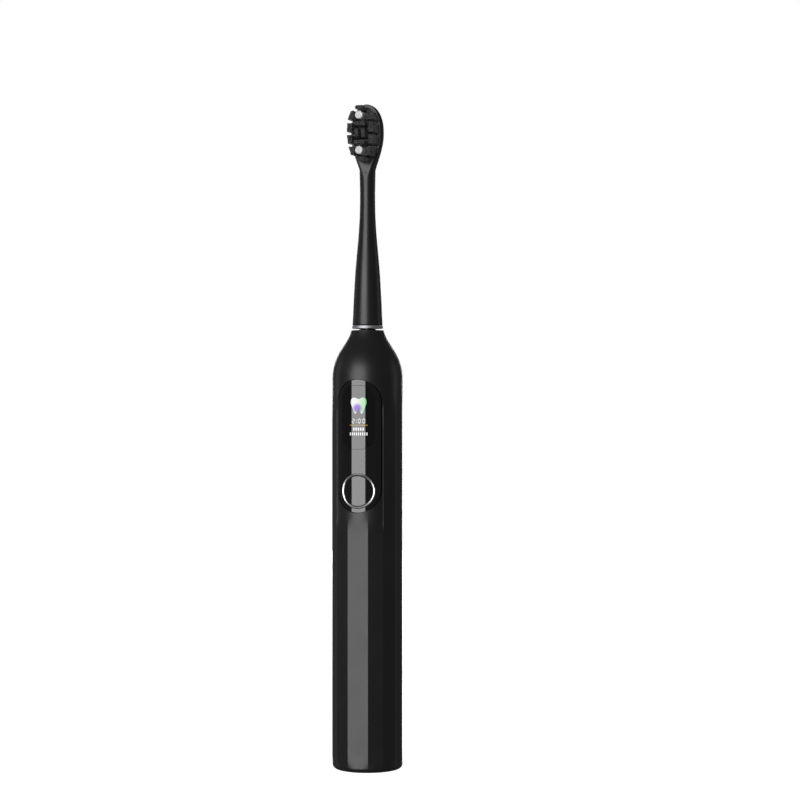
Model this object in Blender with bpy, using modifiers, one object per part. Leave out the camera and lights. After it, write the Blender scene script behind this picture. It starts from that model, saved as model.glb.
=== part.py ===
"""Upright sonic toothbrush: faceted handle, front panel with display and button, push-fit brush head.

The handle's long axis is Z, its front (panel, button and bristles) faces -Y, and its base rests on z = 0.
"""
from math import cos, pi, radians, sin

import bmesh
import bpy
from mathutils import Matrix, Vector

MM = 0.001

# Whole brush
TOTAL_H = 250.0 * MM
GAP = 0.3 * MM              # air between pieces that rest on each other
FIT = 0.15 * MM             # air between small pieces that sit inside each other
RUN = 0.08 * MM             # running clearance round the shaft

# Handle
HANDLE_R = 13.3 * MM
HANDLE_H = 165.0 * MM
WALL = 2.4 * MM
BASE_FILLET = 2.0 * MM
FRONT_FACET = radians(34.4)
SIDE_FACETS = 13
FACET_SPLITS = 4
FACET_FOOT = (1.0 * MM, 7.0 * MM)        # facets fade in between these heights
FACET_TOP = (127.0 * MM, 144.0 * MM)     # and fade out between these
FRONT_FACET_TOP = (87.0 * MM, 96.0 * MM)
SHOULDER_Z = 146.7 * MM
SHOULDER_ARC = 20.3 * MM
SHOULDER_SLOPE = radians(33.4)
FLARE_ARC = 15.5 * MM
FLARE_SLOPE = radians(16.2)
SHOULDER_TOP_R = 6.1 * MM
SEAL_HOLE_R = 3.9 * MM
SEAL_HOLE_Z = 161.5 * MM
# Inside of the shoulder, as (radius, z) from the seal's hole down to the straight bore
SHOULDER_INSIDE = ((SEAL_HOLE_R, SEAL_HOLE_Z), (5.6 * MM, 157.5 * MM), (9.0 * MM, 152.5 * MM),
                   (HANDLE_R - WALL, 146.4 * MM))

# Front panel, display window and button
PANEL_HALF_W = 8.43 * MM
PANEL_Z = (96.9 * MM, 146.5 * MM)
PANEL_T = 1.0 * MM
PANEL_STEPS = 96
RECESS_R = 11.75 * MM
LENS_HALF_W = 6.2 * MM
LENS_Z = (120.5 * MM, 144.2 * MM)
LENS_CORNER = 4.8 * MM
WINDOW_HALF_W = 6.3 * MM                 # opening in the shell behind the lens
WINDOW_Z = (120.3 * MM, 144.4 * MM)
WINDOW_CORNER = 1.0 * MM
GASKET_HALF_W = 7.6 * MM
GASKET_Z = (97.8 * MM, 145.6 * MM)
GASKET_W = 0.9 * MM
BUTTON_Z = 105.0 * MM
RING_R = 6.5 * MM
RING_W = 0.75 * MM
RING_PROUD = 0.06 * MM
BUTTON_TRAVEL = 0.35 * MM
STEM_R = 1.4 * MM
STEM_HOLE_R = 2.95 * MM
MEMBRANE_GAP = 0.2 * MM
MEMBRANE_BACK = -10.3 * MM
PLUNGER_R = 0.9 * MM
SWITCH_HALF = 2.2 * MM
SWITCH_FRONT = -9.7 * MM
CUT_FRONT = -16.0 * MM                   # in front of every piece, for cutters to start from
CUT_BACK = -5.0 * MM                     # behind the panel and in the open inside
CUT_WALL = -8.0 * MM                     # just through the shell's wall
CUT_Z = (90.0 * MM, 150.0 * MM)          # above and below the panel

# Base cap and charging socket
SOCKET_R = 4.2 * MM
SOCKET_DEPTH = 8.0 * MM
CAP_H = 9.0 * MM
CAP_WALL = 1.2 * MM
CAP_FLOOR = 1.6 * MM
CAP_GROOVE_Z = (5.0 * MM, 6.6 * MM)
CAP_GROOVE_DEPTH = 0.7 * MM
CAP_EDGE = 0.4 * MM             # chamfer of the foot and of the socket's mouth
SEAL_WIRE = 0.35 * MM
CHARGE_COIL_R = 8.1 * MM
CHARGE_COIL_Z = (2.2 * MM, 7.6 * MM)
FERRITE_R = (8.3 * MM, 9.2 * MM)
FERRITE_Z = (2.0 * MM, 7.8 * MM)

# Battery, board and chassis
CELL_R = 7.0 * MM
CELL_Z = (17.2 * MM, 67.2 * MM)
BOARD_Y = -7.4 * MM
BOARD_T = 1.0 * MM
BOARD_HALF_W = 6.4 * MM
BOARD_Z = (72.0 * MM, 145.6 * MM)
CHASSIS_R = 10.6 * MM
CHASSIS_T = 0.8 * MM
CHASSIS_Z = (13.4 * MM, 144.6 * MM)
RIB_T = 1.2 * MM
RIB_Z = (24.0 * MM, 40.0 * MM, 58.0 * MM, 92.0 * MM, 120.0 * MM)
RIB_REACH_R = 7.3 * MM
BULKHEAD_Z = (14.8 * MM, 70.0 * MM)
BULKHEAD_REACH_R = 3.0 * MM
TAB_T = 0.25 * MM
TAB_W = 3.0 * MM

# Motor and drive
CAN_R = 7.0 * MM
CAN_T = 0.5 * MM
CAN_HOLE_R = 2.6 * MM
CAN_Z = (86.0 * MM, 128.0 * MM)
ROTOR_Z = (90.0 * MM, 106.0 * MM)
POLE_TIP_R = 4.3 * MM
CORE_R = 5.2 * MM               # inner radius of the stator's ring
MAGNET_R = (3.05 * MM, 3.95 * MM)
HUB_R = 2.9 * MM
COIL_Z = (110.0 * MM, 124.0 * MM)
COIL_IN = 3.3 * MM
SHAFT_R = 2.0 * MM
SHAFT_TOP = 188.0 * MM
SHAFT_FLAT_Z = 170.0 * MM
SHAFT_FLAT_Y = -1.5 * MM
SPRING_Z = (129.5 * MM, 141.0 * MM)
SPRING_R = 4.4 * MM
SPRING_WIRE = 0.35 * MM
SPRING_TURNS = 4
BEARING_Z = (147.0 * MM, 151.5 * MM)
BEARING_R = 4.1 * MM
HOLDER_R = 8.4 * MM
SEAL_FOOT_Z = 158.6 * MM
SEAL_BORE_R = 2.2 * MM
SEAL_LIP_R = 3.55 * MM
SEAL_FLANGE_R = 4.4 * MM

# Brush head
HEAD_BASE_Z = 165.64 * MM
ID_RING_H = 1.12 * MM
HEAD_BORE_R = 3.3 * MM
HEAD_BORE_TOP = SHAFT_TOP + 0.8 * MM
SLEEVE_BORE_R = SHAFT_R + 0.12 * MM
SLEEVE_R = 3.0 * MM
SLEEVE_Z = (165.9 * MM, 187.4 * MM)
SLEEVE_FLANGE_R = 4.1 * MM
SLEEVE_FLANGE_T = 0.8 * MM
CLIP_Z = (172.0 * MM, 186.0 * MM)
CLIP_HALF_W = 0.6 * MM
ID_RING_BORE_R = 4.4 * MM
NECK_BASE_R = 5.8 * MM
NECK_WAIST_R = 2.87 * MM
NECK_WAIST_Z = 216.0 * MM
PLATE_HALF_W = 6.35 * MM
PLATE_WIDEST_Z = 239.0 * MM
PLATE_HEEL_Z = 225.0 * MM
PLATE_FRONT = 1.8 * MM
FRONT_FLAT_Z = (223.5 * MM, 231.5 * MM)  # the flat front cuts deeper between these heights
PLATE_BACK = 2.3 * MM
PLATE_CROWN = 4.0 * MM         # front half depth of the oval before the flat is cut
TUFT_ROOT_DEPTH = 1.3 * MM
TUFT_MARGIN = 1.0 * MM         # from the side tufts to the plate's edge
WHITE_TUFT_R = 1.7 * MM
WHITE_REACH = 11.8 * MM        # from the handle's axis to the tufts' tips
SIDE_REACH = 10.0 * MM
UPRIGHT_REACH = 10.9 * MM
UPRIGHT_HALF_W = 0.85 * MM
UPRIGHT_Z = (236.35 * MM, 240.35 * MM)
UPRIGHT_X = 1.3 * MM

COLOURS = {
    "shell_black": ((0.018, 0.018, 0.020), 0.35, 0.0),
    "panel_black": ((0.008, 0.008, 0.009), 0.06, 0.0),
    "lens_black": ((0.006, 0.006, 0.008), 0.04, 0.0),
    "display": ((0.03, 0.03, 0.05), 0.2, 0.0),
    "polished_steel": ((0.75, 0.75, 0.76), 0.12, 1.0),
    "shaft_steel": ((0.60, 0.60, 0.61), 0.25, 1.0),
    "spring_steel": ((0.35, 0.35, 0.36), 0.35, 1.0),
    "bronze": ((0.55, 0.36, 0.18), 0.35, 1.0),
    "nickel": ((0.62, 0.60, 0.55), 0.3, 1.0),
    "copper": ((0.72, 0.30, 0.12), 0.35, 1.0),
    "ferrite": ((0.05, 0.05, 0.055), 0.6, 0.0),
    "magnet": ((0.55, 0.55, 0.56), 0.3, 1.0),
    "board_green": ((0.01, 0.10, 0.04), 0.4, 0.0),
    "switch_grey": ((0.15, 0.15, 0.15), 0.45, 0.0),
    "chassis_white": ((0.65, 0.65, 0.63), 0.5, 0.0),
    "cell_wrap": ((0.02, 0.12, 0.35), 0.3, 0.0),
    "foam": ((0.05, 0.05, 0.05), 0.95, 0.0),
    "rubber_black": ((0.015, 0.015, 0.015), 0.7, 0.0),
    "head_black": ((0.016, 0.016, 0.017), 0.3, 0.0),
    "head_insert": ((0.55, 0.55, 0.54), 0.45, 0.0),
    "bristle_black": ((0.02, 0.02, 0.02), 0.6, 0.0),
    "bristle_white": ((0.85, 0.85, 0.83), 0.5, 0.0),
}


# ---------------------------------------------------------------- scene and helpers

for old in list(bpy.data.objects):
    bpy.data.objects.remove(old, do_unlink=True)

parts = bpy.data.collections.new("toothbrush")
cutters = bpy.data.collections.new("cutters")
bpy.context.scene.collection.children.link(parts)
bpy.context.scene.collection.children.link(cutters)


def make_material(name):
    colour, roughness, metallic = COLOURS[name]
    material = bpy.data.materials.new(name)
    material.use_nodes = True
    shader = material.node_tree.nodes["Principled BSDF"]
    shader.inputs["Base Color"].default_value = (*colour, 1.0)
    shader.inputs["Roughness"].default_value = roughness
    shader.inputs["Metallic"].default_value = metallic
    return material


MATERIALS = {name: make_material(name) for name in COLOURS}


def add_object(name, mesh, material=None, parent=None):
    """Link a mesh as a part, or as a cutter when it has no material."""
    obj = bpy.data.objects.new(name, mesh)
    if material is None:
        cutters.objects.link(obj)
        obj.hide_render = True
        obj.display_type = "WIRE"
        return obj
    parts.objects.link(obj)
    mesh.materials.append(MATERIALS[material])
    if parent is not None:
        obj.parent = parent
        obj.matrix_parent_inverse = Matrix.Translation(-parent.location)
    return obj


def add_joint_empty(name, location):
    empty = bpy.data.objects.new(name, None)
    empty.location = location
    empty.empty_display_size = 5 * MM
    parts.objects.link(empty)
    return empty


def lathe(name, profile, material=None, parent=None, steps=32, closed=False):
    """Turn a profile of (radius, z) points, given down its outer side, about Z."""
    mesh = bpy.data.meshes.new(name)
    edges = [(i, i + 1) for i in range(len(profile) - 1)]
    if closed:
        edges.append((len(profile) - 1, 0))
    mesh.from_pydata([(r, 0.0, z) for r, z in profile], edges, [])
    obj = add_object(name, mesh, material, parent)
    screw = obj.modifiers.new("turn", "SCREW")
    screw.angle = 2 * pi
    screw.steps = steps
    screw.render_steps = steps
    screw.use_merge_vertices = True
    screw.merge_threshold = 1e-6
    return obj


def ring_profile(inner, outer, low, high):
    return [(inner, high), (outer, high), (outer, low), (inner, low)]


def ring(name, inner, outer, low, high, material=None, parent=None, steps=32):
    return lathe(name, ring_profile(inner, outer, low, high), material, parent, steps, closed=True)


def box(name, low, high, material=None, parent=None):
    mesh = bpy.data.meshes.new(name)
    bm = bmesh.new()
    bmesh.ops.create_cube(bm, size=1.0)
    low, high = Vector(low), Vector(high)
    bmesh.ops.scale(bm, vec=high - low, verts=bm.verts)
    bmesh.ops.translate(bm, vec=(low + high) / 2, verts=bm.verts)
    bm.to_mesh(mesh)
    bm.free()
    return add_object(name, mesh, material, parent)


# Flat outlines lie in the curve's XY plane: these turn that plane to face along Y or X.
FACE_Y = Matrix(((1, 0, 0), (0, 0, -1), (0, 1, 0))).to_4x4()
FACE_X = Matrix(((0, 0, 1), (1, 0, 0), (0, 1, 0))).to_4x4()


def prism(name, outlines, low, high, facing, material=None, parent=None):
    """Fill flat outlines (later ones are holes) and extrude them from low to high along Y or X."""
    curve = bpy.data.curves.new(name, "CURVE")
    curve.dimensions = "2D"
    curve.fill_mode = "BOTH"
    curve.extrude = (high - low) / 2
    for outline in outlines:
        spline = curve.splines.new("POLY")
        spline.points.add(len(outline) - 1)
        for point, (u, v) in zip(spline.points, outline):
            point.co = (u, v, 0, 1)
        spline.use_cyclic_u = True
    guide = bpy.data.objects.new(name + "_outline", curve)
    cutters.objects.link(guide)
    middle = (low + high) / 2
    offset = (0, middle, 0) if facing is FACE_Y else (middle, 0, 0)
    guide.matrix_world = Matrix.Translation(offset) @ facing
    bpy.context.view_layer.update()
    depsgraph = bpy.context.evaluated_depsgraph_get()
    mesh = bpy.data.meshes.new_from_object(guide.evaluated_get(depsgraph))
    mesh.transform(guide.matrix_world)
    bpy.data.objects.remove(guide, do_unlink=True)
    mesh.materials.clear()
    bm = bmesh.new()
    bm.from_mesh(mesh)
    bmesh.ops.remove_doubles(bm, verts=bm.verts, dist=1e-7)
    bmesh.ops.recalc_face_normals(bm, faces=bm.faces)
    bm.to_mesh(mesh)
    bm.free()
    return add_object(name, mesh, material, parent)


def boolean(obj, other, operation="DIFFERENCE"):
    modifier = obj.modifiers.new(operation.lower(), "BOOLEAN")
    modifier.operation = operation
    modifier.object = other
    modifier.solver = "EXACT"
    return obj


def circle(radius, centre=(0.0, 0.0), count=32):
    cu, cv = centre
    turns = [2 * pi * i / count for i in range(count)]
    return [(cu + radius * cos(a), cv + radius * sin(a)) for a in turns]


def rounded_box(half_w, low, high, corner, count=6, centre=0.0):
    """Outline of an upright rectangle with round corners; a stadium when corner equals half_w."""
    points = []
    corners = [(half_w - corner, high - corner, 0), (corner - half_w, high - corner, 90),
               (corner - half_w, low + corner, 180), (half_w - corner, low + corner, 270)]
    for cu, cv, start in corners:
        for i in range(count + 1):
            a = radians(start + 90 * i / count)
            points.append((centre + cu + corner * cos(a), cv + corner * sin(a)))
    clean = [points[0]]
    for point in points[1:]:
        if (Vector(point) - Vector(clean[-1])).length > 1e-6:
            clean.append(point)
    if (Vector(clean[0]) - Vector(clean[-1])).length < 1e-6:
        clean.pop()
    return clean


def smooth(x, low, high):
    t = min(max((x - low) / (high - low), 0.0), 1.0)
    return t * t * (3 - 2 * t)


def loft(name, rings, material=None, parent=None):
    """Skin a stack of rings, lowest first, each a list of points seen anticlockwise from above."""
    count = len(rings[0])
    verts = [point for ring_points in rings for point in ring_points]
    faces = []
    for k in range(len(rings) - 1):
        for i in range(count):
            j = (i + 1) % count
            faces.append((k * count + i, k * count + j, (k + 1) * count + j, (k + 1) * count + i))
    faces.append(tuple(reversed(range(count))))
    faces.append(tuple((len(rings) - 1) * count + i for i in range(count)))
    mesh = bpy.data.meshes.new(name)
    mesh.from_pydata(verts, [], faces)
    return add_object(name, mesh, material, parent)


# ---------------------------------------------------------------- handle shell

def handle_profile():
    """Outer (radius, z) points of the round handle from base to shoulder top."""
    points = []
    for i in range(5):
        a = radians(90) * (1 - i / 4)
        points.append((HANDLE_R - BASE_FILLET * (1 - cos(a)), FIT + BASE_FILLET * (1 - sin(a))))
    fade_heights = [3.5, 5.0, 7.0, 87.0, 90.0, 93.0, 96.0, 127.0, 131.0, 135.0, 139.0, 144.0]
    points += [(HANDLE_R, height * MM) for height in fade_heights]
    for i in range(8):
        a = SHOULDER_SLOPE * i / 7
        points.append((HANDLE_R - SHOULDER_ARC * (1 - cos(a)), SHOULDER_Z + SHOULDER_ARC * sin(a)))
    flare_z = HANDLE_H + FLARE_ARC * sin(FLARE_SLOPE)
    flare_r = SHOULDER_TOP_R + FLARE_ARC * cos(FLARE_SLOPE)
    for i in range(5):
        a = SHOULDER_SLOPE + (FLARE_SLOPE - SHOULDER_SLOPE) * i / 4
        points.append((flare_r - FLARE_ARC * cos(a), flare_z - FLARE_ARC * sin(a)))
    return points


def facet_directions():
    """(angle from the front, polygon radius over circle radius, is a front facet) round the handle."""
    side = (2 * pi - FRONT_FACET) / SIDE_FACETS
    widths = [FRONT_FACET] + [side] * SIDE_FACETS
    start = -FRONT_FACET / 2
    directions = []
    for index, width in enumerate(widths):
        front = index in (0, 1, SIDE_FACETS)
        for i in range(FACET_SPLITS):
            a = start + width * i / FACET_SPLITS
            ratio = cos(width / 2) / cos(a - start - width / 2)
            directions.append((a, ratio, front))
        start += width
    return directions


def handle_rings():
    rings = []
    for r, z in handle_profile():
        foot = smooth(z, *FACET_FOOT)
        fade = {True: foot * (1 - smooth(z, *FRONT_FACET_TOP)), False: foot * (1 - smooth(z, *FACET_TOP))}
        points = []
        for a, ratio, front in facet_directions():
            radius = r * (1 + (ratio - 1) * fade[front])
            points.append((radius * sin(a), -radius * cos(a), z))
        rings.append(points)
    return rings


cavity = lathe("handle_cavity", [
    (0, HANDLE_H + 2 * MM), (SEAL_HOLE_R, HANDLE_H + 2 * MM), *SHOULDER_INSIDE,
    (HANDLE_R - WALL, -2 * MM), (0, -2 * MM)], steps=36)

panel_recess = ring("panel_recess", RECESS_R, HANDLE_R + 2 * MM, *CUT_Z, steps=PANEL_STEPS)
recess_outline = prism("recess_outline", [
    rounded_box(PANEL_HALF_W + FIT, PANEL_Z[0] - FIT, PANEL_Z[1] + FIT, PANEL_HALF_W + FIT, count=10)],
    CUT_FRONT, CUT_BACK, FACE_Y)
boolean(panel_recess, recess_outline, "INTERSECT")

display_window = prism("display_window", [rounded_box(WINDOW_HALF_W, *WINDOW_Z, WINDOW_CORNER, count=3)],
                       CUT_FRONT, CUT_WALL, FACE_Y)
stem_hole = prism("stem_hole", [circle(STEM_HOLE_R, (0, BUTTON_Z), 24)], CUT_FRONT, CUT_WALL, FACE_Y)

handle_shell = loft("handle_shell", handle_rings(), "shell_black")
for cutter in (cavity, panel_recess, display_window, stem_hole):
    boolean(handle_shell, cutter)


# ---------------------------------------------------------------- front panel, lens and button

def curved_plate(name, outlines, inner, outer, material, parent=None):
    """A stretch of tube wall cut to an outline seen from the front."""
    wall = ring(name, inner, outer, *CUT_Z, material, parent, steps=PANEL_STEPS)
    cut = prism(name + "_outline", outlines, CUT_FRONT, CUT_BACK, FACE_Y)
    return boolean(wall, cut, "INTERSECT")


def grown_stadium(half_w, span, grow, corner, count=10):
    """Outline of an upright round-ended window, pushed out by grow on every side."""
    return rounded_box(half_w + grow, span[0] - grow, span[1] + grow, corner + grow, count)


panel_edge = grown_stadium(PANEL_HALF_W, PANEL_Z, -FIT, PANEL_HALF_W)
lens_hole = grown_stadium(LENS_HALF_W, LENS_Z, FIT / 2, LENS_CORNER, count=6)
lens_edge = grown_stadium(LENS_HALF_W, LENS_Z, -FIT / 2, LENS_CORNER, count=6)
gasket_edge = grown_stadium(GASKET_HALF_W, GASKET_Z, 0, GASKET_HALF_W, count=8)
gasket_hole = grown_stadium(GASKET_HALF_W, GASKET_Z, -GASKET_W, GASKET_HALF_W, count=8)

PANEL_IN = HANDLE_R - PANEL_T
curved_plate("front_panel", [panel_edge, lens_hole, circle(RING_R + FIT, (0, BUTTON_Z), 40)],
             PANEL_IN, HANDLE_R, "panel_black")
curved_plate("display_lens", [lens_edge], PANEL_IN, HANDLE_R, "lens_black")
curved_plate("panel_gasket", [gasket_edge, gasket_hole], RECESS_R + FIT, PANEL_IN - FIT, "foam")
ring_outlines = [circle(radius, (0, BUTTON_Z), 40) for radius in (RING_R, RING_R - RING_W)]
curved_plate("button_ring", ring_outlines, PANEL_IN, HANDLE_R + RING_PROUD, "polished_steel")

button_axis = add_joint_empty("button_axis", (0, -HANDLE_R, BUTTON_Z))
BUTTON_BACK_R = PANEL_IN - 0.1 * MM
BUTTON_FACE_R = HANDLE_R - 0.05 * MM
button_cap = curved_plate("button_cap", [circle(RING_R - RING_W - FIT, (0, BUTTON_Z), 32)],
                          BUTTON_BACK_R, BUTTON_FACE_R, "panel_black", button_axis)
PLUNGER_TIP = SWITCH_FRONT - 0.3 * MM
PLUNGER_END = SWITCH_FRONT + 0.4 * MM
button_stem = prism("button_stem", [circle(STEM_R, (0, BUTTON_Z), 16)],
                    -(BUTTON_BACK_R + BUTTON_FACE_R) / 2, PLUNGER_TIP - FIT, FACE_Y)
boolean(button_cap, button_stem, "UNION")
prism("switch_plunger", [circle(PLUNGER_R, (0, BUTTON_Z), 16)],
      PLUNGER_TIP, PLUNGER_END, FACE_Y, "switch_grey", button_axis)
MEMBRANE_R = STEM_HOLE_R - MEMBRANE_GAP
membrane_front = -(BUTTON_BACK_R ** 2 - MEMBRANE_R ** 2) ** 0.5 + BUTTON_TRAVEL + FIT
prism("button_membrane", [circle(MEMBRANE_R, (0, BUTTON_Z), 24),
                          circle(STEM_R + MEMBRANE_GAP, (0, BUTTON_Z), 16)],
      membrane_front, MEMBRANE_BACK, FACE_Y, "rubber_black")

# ---------------------------------------------------------------- board, display and switch

box("main_board", (-BOARD_HALF_W, BOARD_Y - BOARD_T, BOARD_Z[0]), (BOARD_HALF_W, BOARD_Y, BOARD_Z[1]),
    "board_green")
BOARD_FACE = BOARD_Y - BOARD_T - FIT
MODULE_HALF_W = WINDOW_HALF_W - 0.4 * MM
MODULE_FRONT = -10.2 * MM
box("display_module", (-MODULE_HALF_W, MODULE_FRONT, WINDOW_Z[0] + 0.6 * MM),
    (MODULE_HALF_W, BOARD_FACE, WINDOW_Z[1] - 0.6 * MM), "display")
tact_switch = box("tact_switch", (-SWITCH_HALF, SWITCH_FRONT, BUTTON_Z - SWITCH_HALF),
                  (SWITCH_HALF, BOARD_FACE, BUTTON_Z + SWITCH_HALF), "switch_grey")
plunger_hole = prism("plunger_hole", [circle(PLUNGER_R + 0.2 * MM, (0, BUTTON_Z), 16)],
                     CUT_FRONT, PLUNGER_END + BUTTON_TRAVEL + 0.1 * MM, FACE_Y)
boolean(tact_switch, plunger_hole)

# ---------------------------------------------------------------- chassis and battery


def chassis_profile():
    """Closed (radius, z) outline of a thin tube with ribs and bulkheads on its inside."""
    inner = CHASSIS_R - CHASSIS_T
    shelves = [(z, RIB_REACH_R) for z in RIB_Z] + [(z, BULKHEAD_REACH_R) for z in BULKHEAD_Z]
    points = [(inner, CHASSIS_Z[1]), (CHASSIS_R, CHASSIS_Z[1]), (CHASSIS_R, CHASSIS_Z[0]),
              (inner, CHASSIS_Z[0])]
    for z, reach in sorted(shelves):
        points += [(inner, z), (reach, z), (reach, z + RIB_T), (inner, z + RIB_T)]
    return points


chassis = lathe("chassis", chassis_profile(), "chassis_white", steps=32, closed=True)
boolean(chassis, box("chassis_front", (-15 * MM, -15 * MM, 0), (15 * MM, BOARD_Y + GAP, 160 * MM)))

CELL_NUB_TOP = CELL_Z[1] + 1.0 * MM
CELL_NUB_R = 2.6 * MM
CELL_EDGE = 0.5 * MM
lathe("battery_cell", [
    (0, CELL_NUB_TOP), (CELL_NUB_R, CELL_NUB_TOP), (CELL_NUB_R + 0.2 * MM, CELL_Z[1]),
    (CELL_R - CELL_EDGE, CELL_Z[1]), (CELL_R, CELL_Z[1] - CELL_EDGE), (CELL_R, CELL_Z[0] + CELL_EDGE),
    (CELL_R - CELL_EDGE, CELL_Z[0]), (0, CELL_Z[0])], "cell_wrap")
PAD_HALF_W = 4.0 * MM
PAD_BACK = 8.8 * MM
box("battery_pad", (-PAD_HALF_W, CELL_R + GAP, 42 * MM), (PAD_HALF_W, PAD_BACK, 57 * MM), "foam")


def battery_tab(name, x, z):
    """Nickel strip: flat across the cell's end at height z, then up in front of the board."""
    front = BOARD_Y - BOARD_T - GAP - TAB_T
    top = BOARD_Z[0] + 5 * MM
    outline = [(2.5 * MM, z), (2.5 * MM, z + TAB_T), (front + TAB_T, z + TAB_T), (front + TAB_T, top),
               (front, top), (front, z)]
    return prism(name, [outline], x, x + TAB_W, FACE_X, "nickel")


battery_tab("battery_tab_bottom", -4.5 * MM, CELL_Z[0] - GAP - TAB_T)
battery_tab("battery_tab_top", -1.0 * MM, CELL_NUB_TOP + GAP)

# ---------------------------------------------------------------- motor and drive

CAN_IN = CAN_R - CAN_T
lathe("motor_can", [(CAN_HOLE_R, CAN_Z[1]), (CAN_R, CAN_Z[1]), (CAN_R, CAN_Z[0]), (CAN_IN, CAN_Z[0]),
                    (CAN_IN, CAN_Z[1] - CAN_T), (CAN_HOLE_R, CAN_Z[1] - CAN_T)], "shaft_steel", closed=True)
END_CAP_TOP = CAN_Z[0] + 1.4 * MM
END_CAP_LOW = CAN_Z[0] - 1.6 * MM
PIVOT_R = SHAFT_R / 2
PIVOT_FLOOR = CAN_Z[0] - 0.4 * MM
lathe("motor_end_cap", [
    (0, PIVOT_FLOOR), (PIVOT_R + RUN, PIVOT_FLOOR), (PIVOT_R + RUN, END_CAP_TOP),
    (CAN_IN - FIT, END_CAP_TOP), (CAN_IN - FIT, CAN_Z[0] - FIT), (CAN_R, CAN_Z[0] - FIT),
    (CAN_R, END_CAP_LOW), (0, END_CAP_LOW)], "switch_grey")

stator_core = ring("stator_core", CORE_R, CAN_IN - FIT, ROTOR_Z[0], ROTOR_Z[1], "spring_steel")
POLE = Vector((5.7 * MM, 1.6 * MM, 6.0 * MM))
rotor_middle = Vector((0, 0, sum(ROTOR_Z) / 2))
poles = box("stator_poles", rotor_middle - POLE, rotor_middle + POLE)
boolean(poles, ring("pole_bore", 0.001 * MM, POLE_TIP_R, 80 * MM, 110 * MM))
boolean(stator_core, poles, "UNION")
ring("stator_coil", COIL_IN, CAN_IN - GAP, COIL_Z[0], COIL_Z[1], "copper")


def helix(name, radius, low, high, turns, wire, material):
    """Round wire wound about Z."""
    curve = bpy.data.curves.new(name, "CURVE")
    curve.dimensions = "3D"
    curve.bevel_depth = wire
    curve.bevel_resolution = 0
    curve.use_fill_caps = True
    spline = curve.splines.new("POLY")
    count = turns * 14 + 1
    spline.points.add(count - 1)
    for i, point in enumerate(spline.points):
        t = i / (count - 1)
        a = 2 * pi * turns * t
        point.co = (radius * cos(a), radius * sin(a), low + (high - low) * t, 1)
    obj = bpy.data.objects.new(name, curve)
    parts.objects.link(obj)
    curve.materials.append(MATERIALS[material])
    return obj


helix("return_spring", SPRING_R, SPRING_Z[0], SPRING_Z[1], SPRING_TURNS, SPRING_WIRE, "spring_steel")

ring("bearing_holder", BEARING_R + 0.2 * MM, HOLDER_R, BEARING_Z[0], BEARING_Z[1] - 0.5 * MM, "switch_grey")
ring("top_bearing", SHAFT_R + RUN, BEARING_R, *BEARING_Z, "bronze")
lathe("shaft_seal", [
    (SEAL_BORE_R, HANDLE_H + 0.45 * MM), (SEAL_LIP_R - 0.45 * MM, HANDLE_H + 0.35 * MM),
    (SEAL_LIP_R, HANDLE_H - 0.2 * MM), (SEAL_LIP_R, SEAL_HOLE_Z - 0.1 * MM),
    (SEAL_FLANGE_R, SEAL_FOOT_Z + 1 * MM), (SEAL_FLANGE_R, SEAL_FOOT_Z), (SEAL_BORE_R, SEAL_FOOT_Z)],
    "rubber_black", closed=True)

drive_axis = add_joint_empty("drive_axis", (0, 0, CAN_Z[0]))
drive_shaft = lathe("drive_shaft", [
    (0, SHAFT_TOP), (SHAFT_R - 0.5 * MM, SHAFT_TOP), (SHAFT_R, SHAFT_TOP - 0.7 * MM),
    (SHAFT_R, END_CAP_TOP + 0.2 * MM), (PIVOT_R, END_CAP_TOP + 0.2 * MM),
    (PIVOT_R, PIVOT_FLOOR + 0.2 * MM), (0, PIVOT_FLOOR + 0.2 * MM)], "shaft_steel", drive_axis, steps=24)
boolean(drive_shaft, box("shaft_flat", (-3 * MM, -3 * MM, SHAFT_FLAT_Z), (3 * MM, SHAFT_FLAT_Y, 200 * MM)))
ring("rotor_hub", SHAFT_R + FIT, HUB_R, ROTOR_Z[0], ROTOR_Z[1], "spring_steel", drive_axis, steps=24)
for side, name in ((-1, "rotor_magnet_left"), (1, "rotor_magnet_right")):
    magnet = ring(name, *MAGNET_R, ROTOR_Z[0], ROTOR_Z[1], "magnet", drive_axis)
    low_x, high_x = sorted((side * 0.8 * MM, side * 6 * MM))
    half_space = box(name + "_half", (low_x, -6 * MM, 80 * MM), (high_x, 6 * MM, 110 * MM))
    boolean(magnet, half_space, "INTERSECT")

# ---------------------------------------------------------------- base cap and charging parts

CAP_R = HANDLE_R - WALL - GAP
BOSS_R = SOCKET_R + CAP_WALL
BOSS_TOP = SOCKET_DEPTH + 1.4 * MM
GROOVE_R = CAP_R - CAP_GROOVE_DEPTH
lathe("base_cap", [
    (0, BOSS_TOP), (BOSS_R, BOSS_TOP), (BOSS_R, CAP_FLOOR), (CAP_R - CAP_WALL, CAP_FLOOR),
    (CAP_R - CAP_WALL, CAP_H), (CAP_R, CAP_H), (CAP_R, CAP_GROOVE_Z[1]), (GROOVE_R, CAP_GROOVE_Z[1]),
    (GROOVE_R, CAP_GROOVE_Z[0]), (CAP_R, CAP_GROOVE_Z[0]), (CAP_R, CAP_EDGE), (CAP_R - CAP_EDGE, 0),
    (SOCKET_R + CAP_EDGE, 0), (SOCKET_R, CAP_EDGE), (SOCKET_R, SOCKET_DEPTH), (0, SOCKET_DEPTH)],
    "shell_black", steps=40)
seal_mid = sum(CAP_GROOVE_Z) / 2
seal_turns = [2 * pi * i / 6 for i in range(6)]
seal_section = [(CAP_R - 0.2 * MM - SEAL_WIRE * cos(a), seal_mid + SEAL_WIRE * sin(a)) for a in seal_turns]
lathe("base_seal", seal_section, "rubber_black", steps=32, closed=True)
ring("charging_coil", BOSS_R + GAP, CHARGE_COIL_R, *CHARGE_COIL_Z, "copper")
ring("ferrite_sleeve", *FERRITE_R, *FERRITE_Z, "ferrite")

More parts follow.
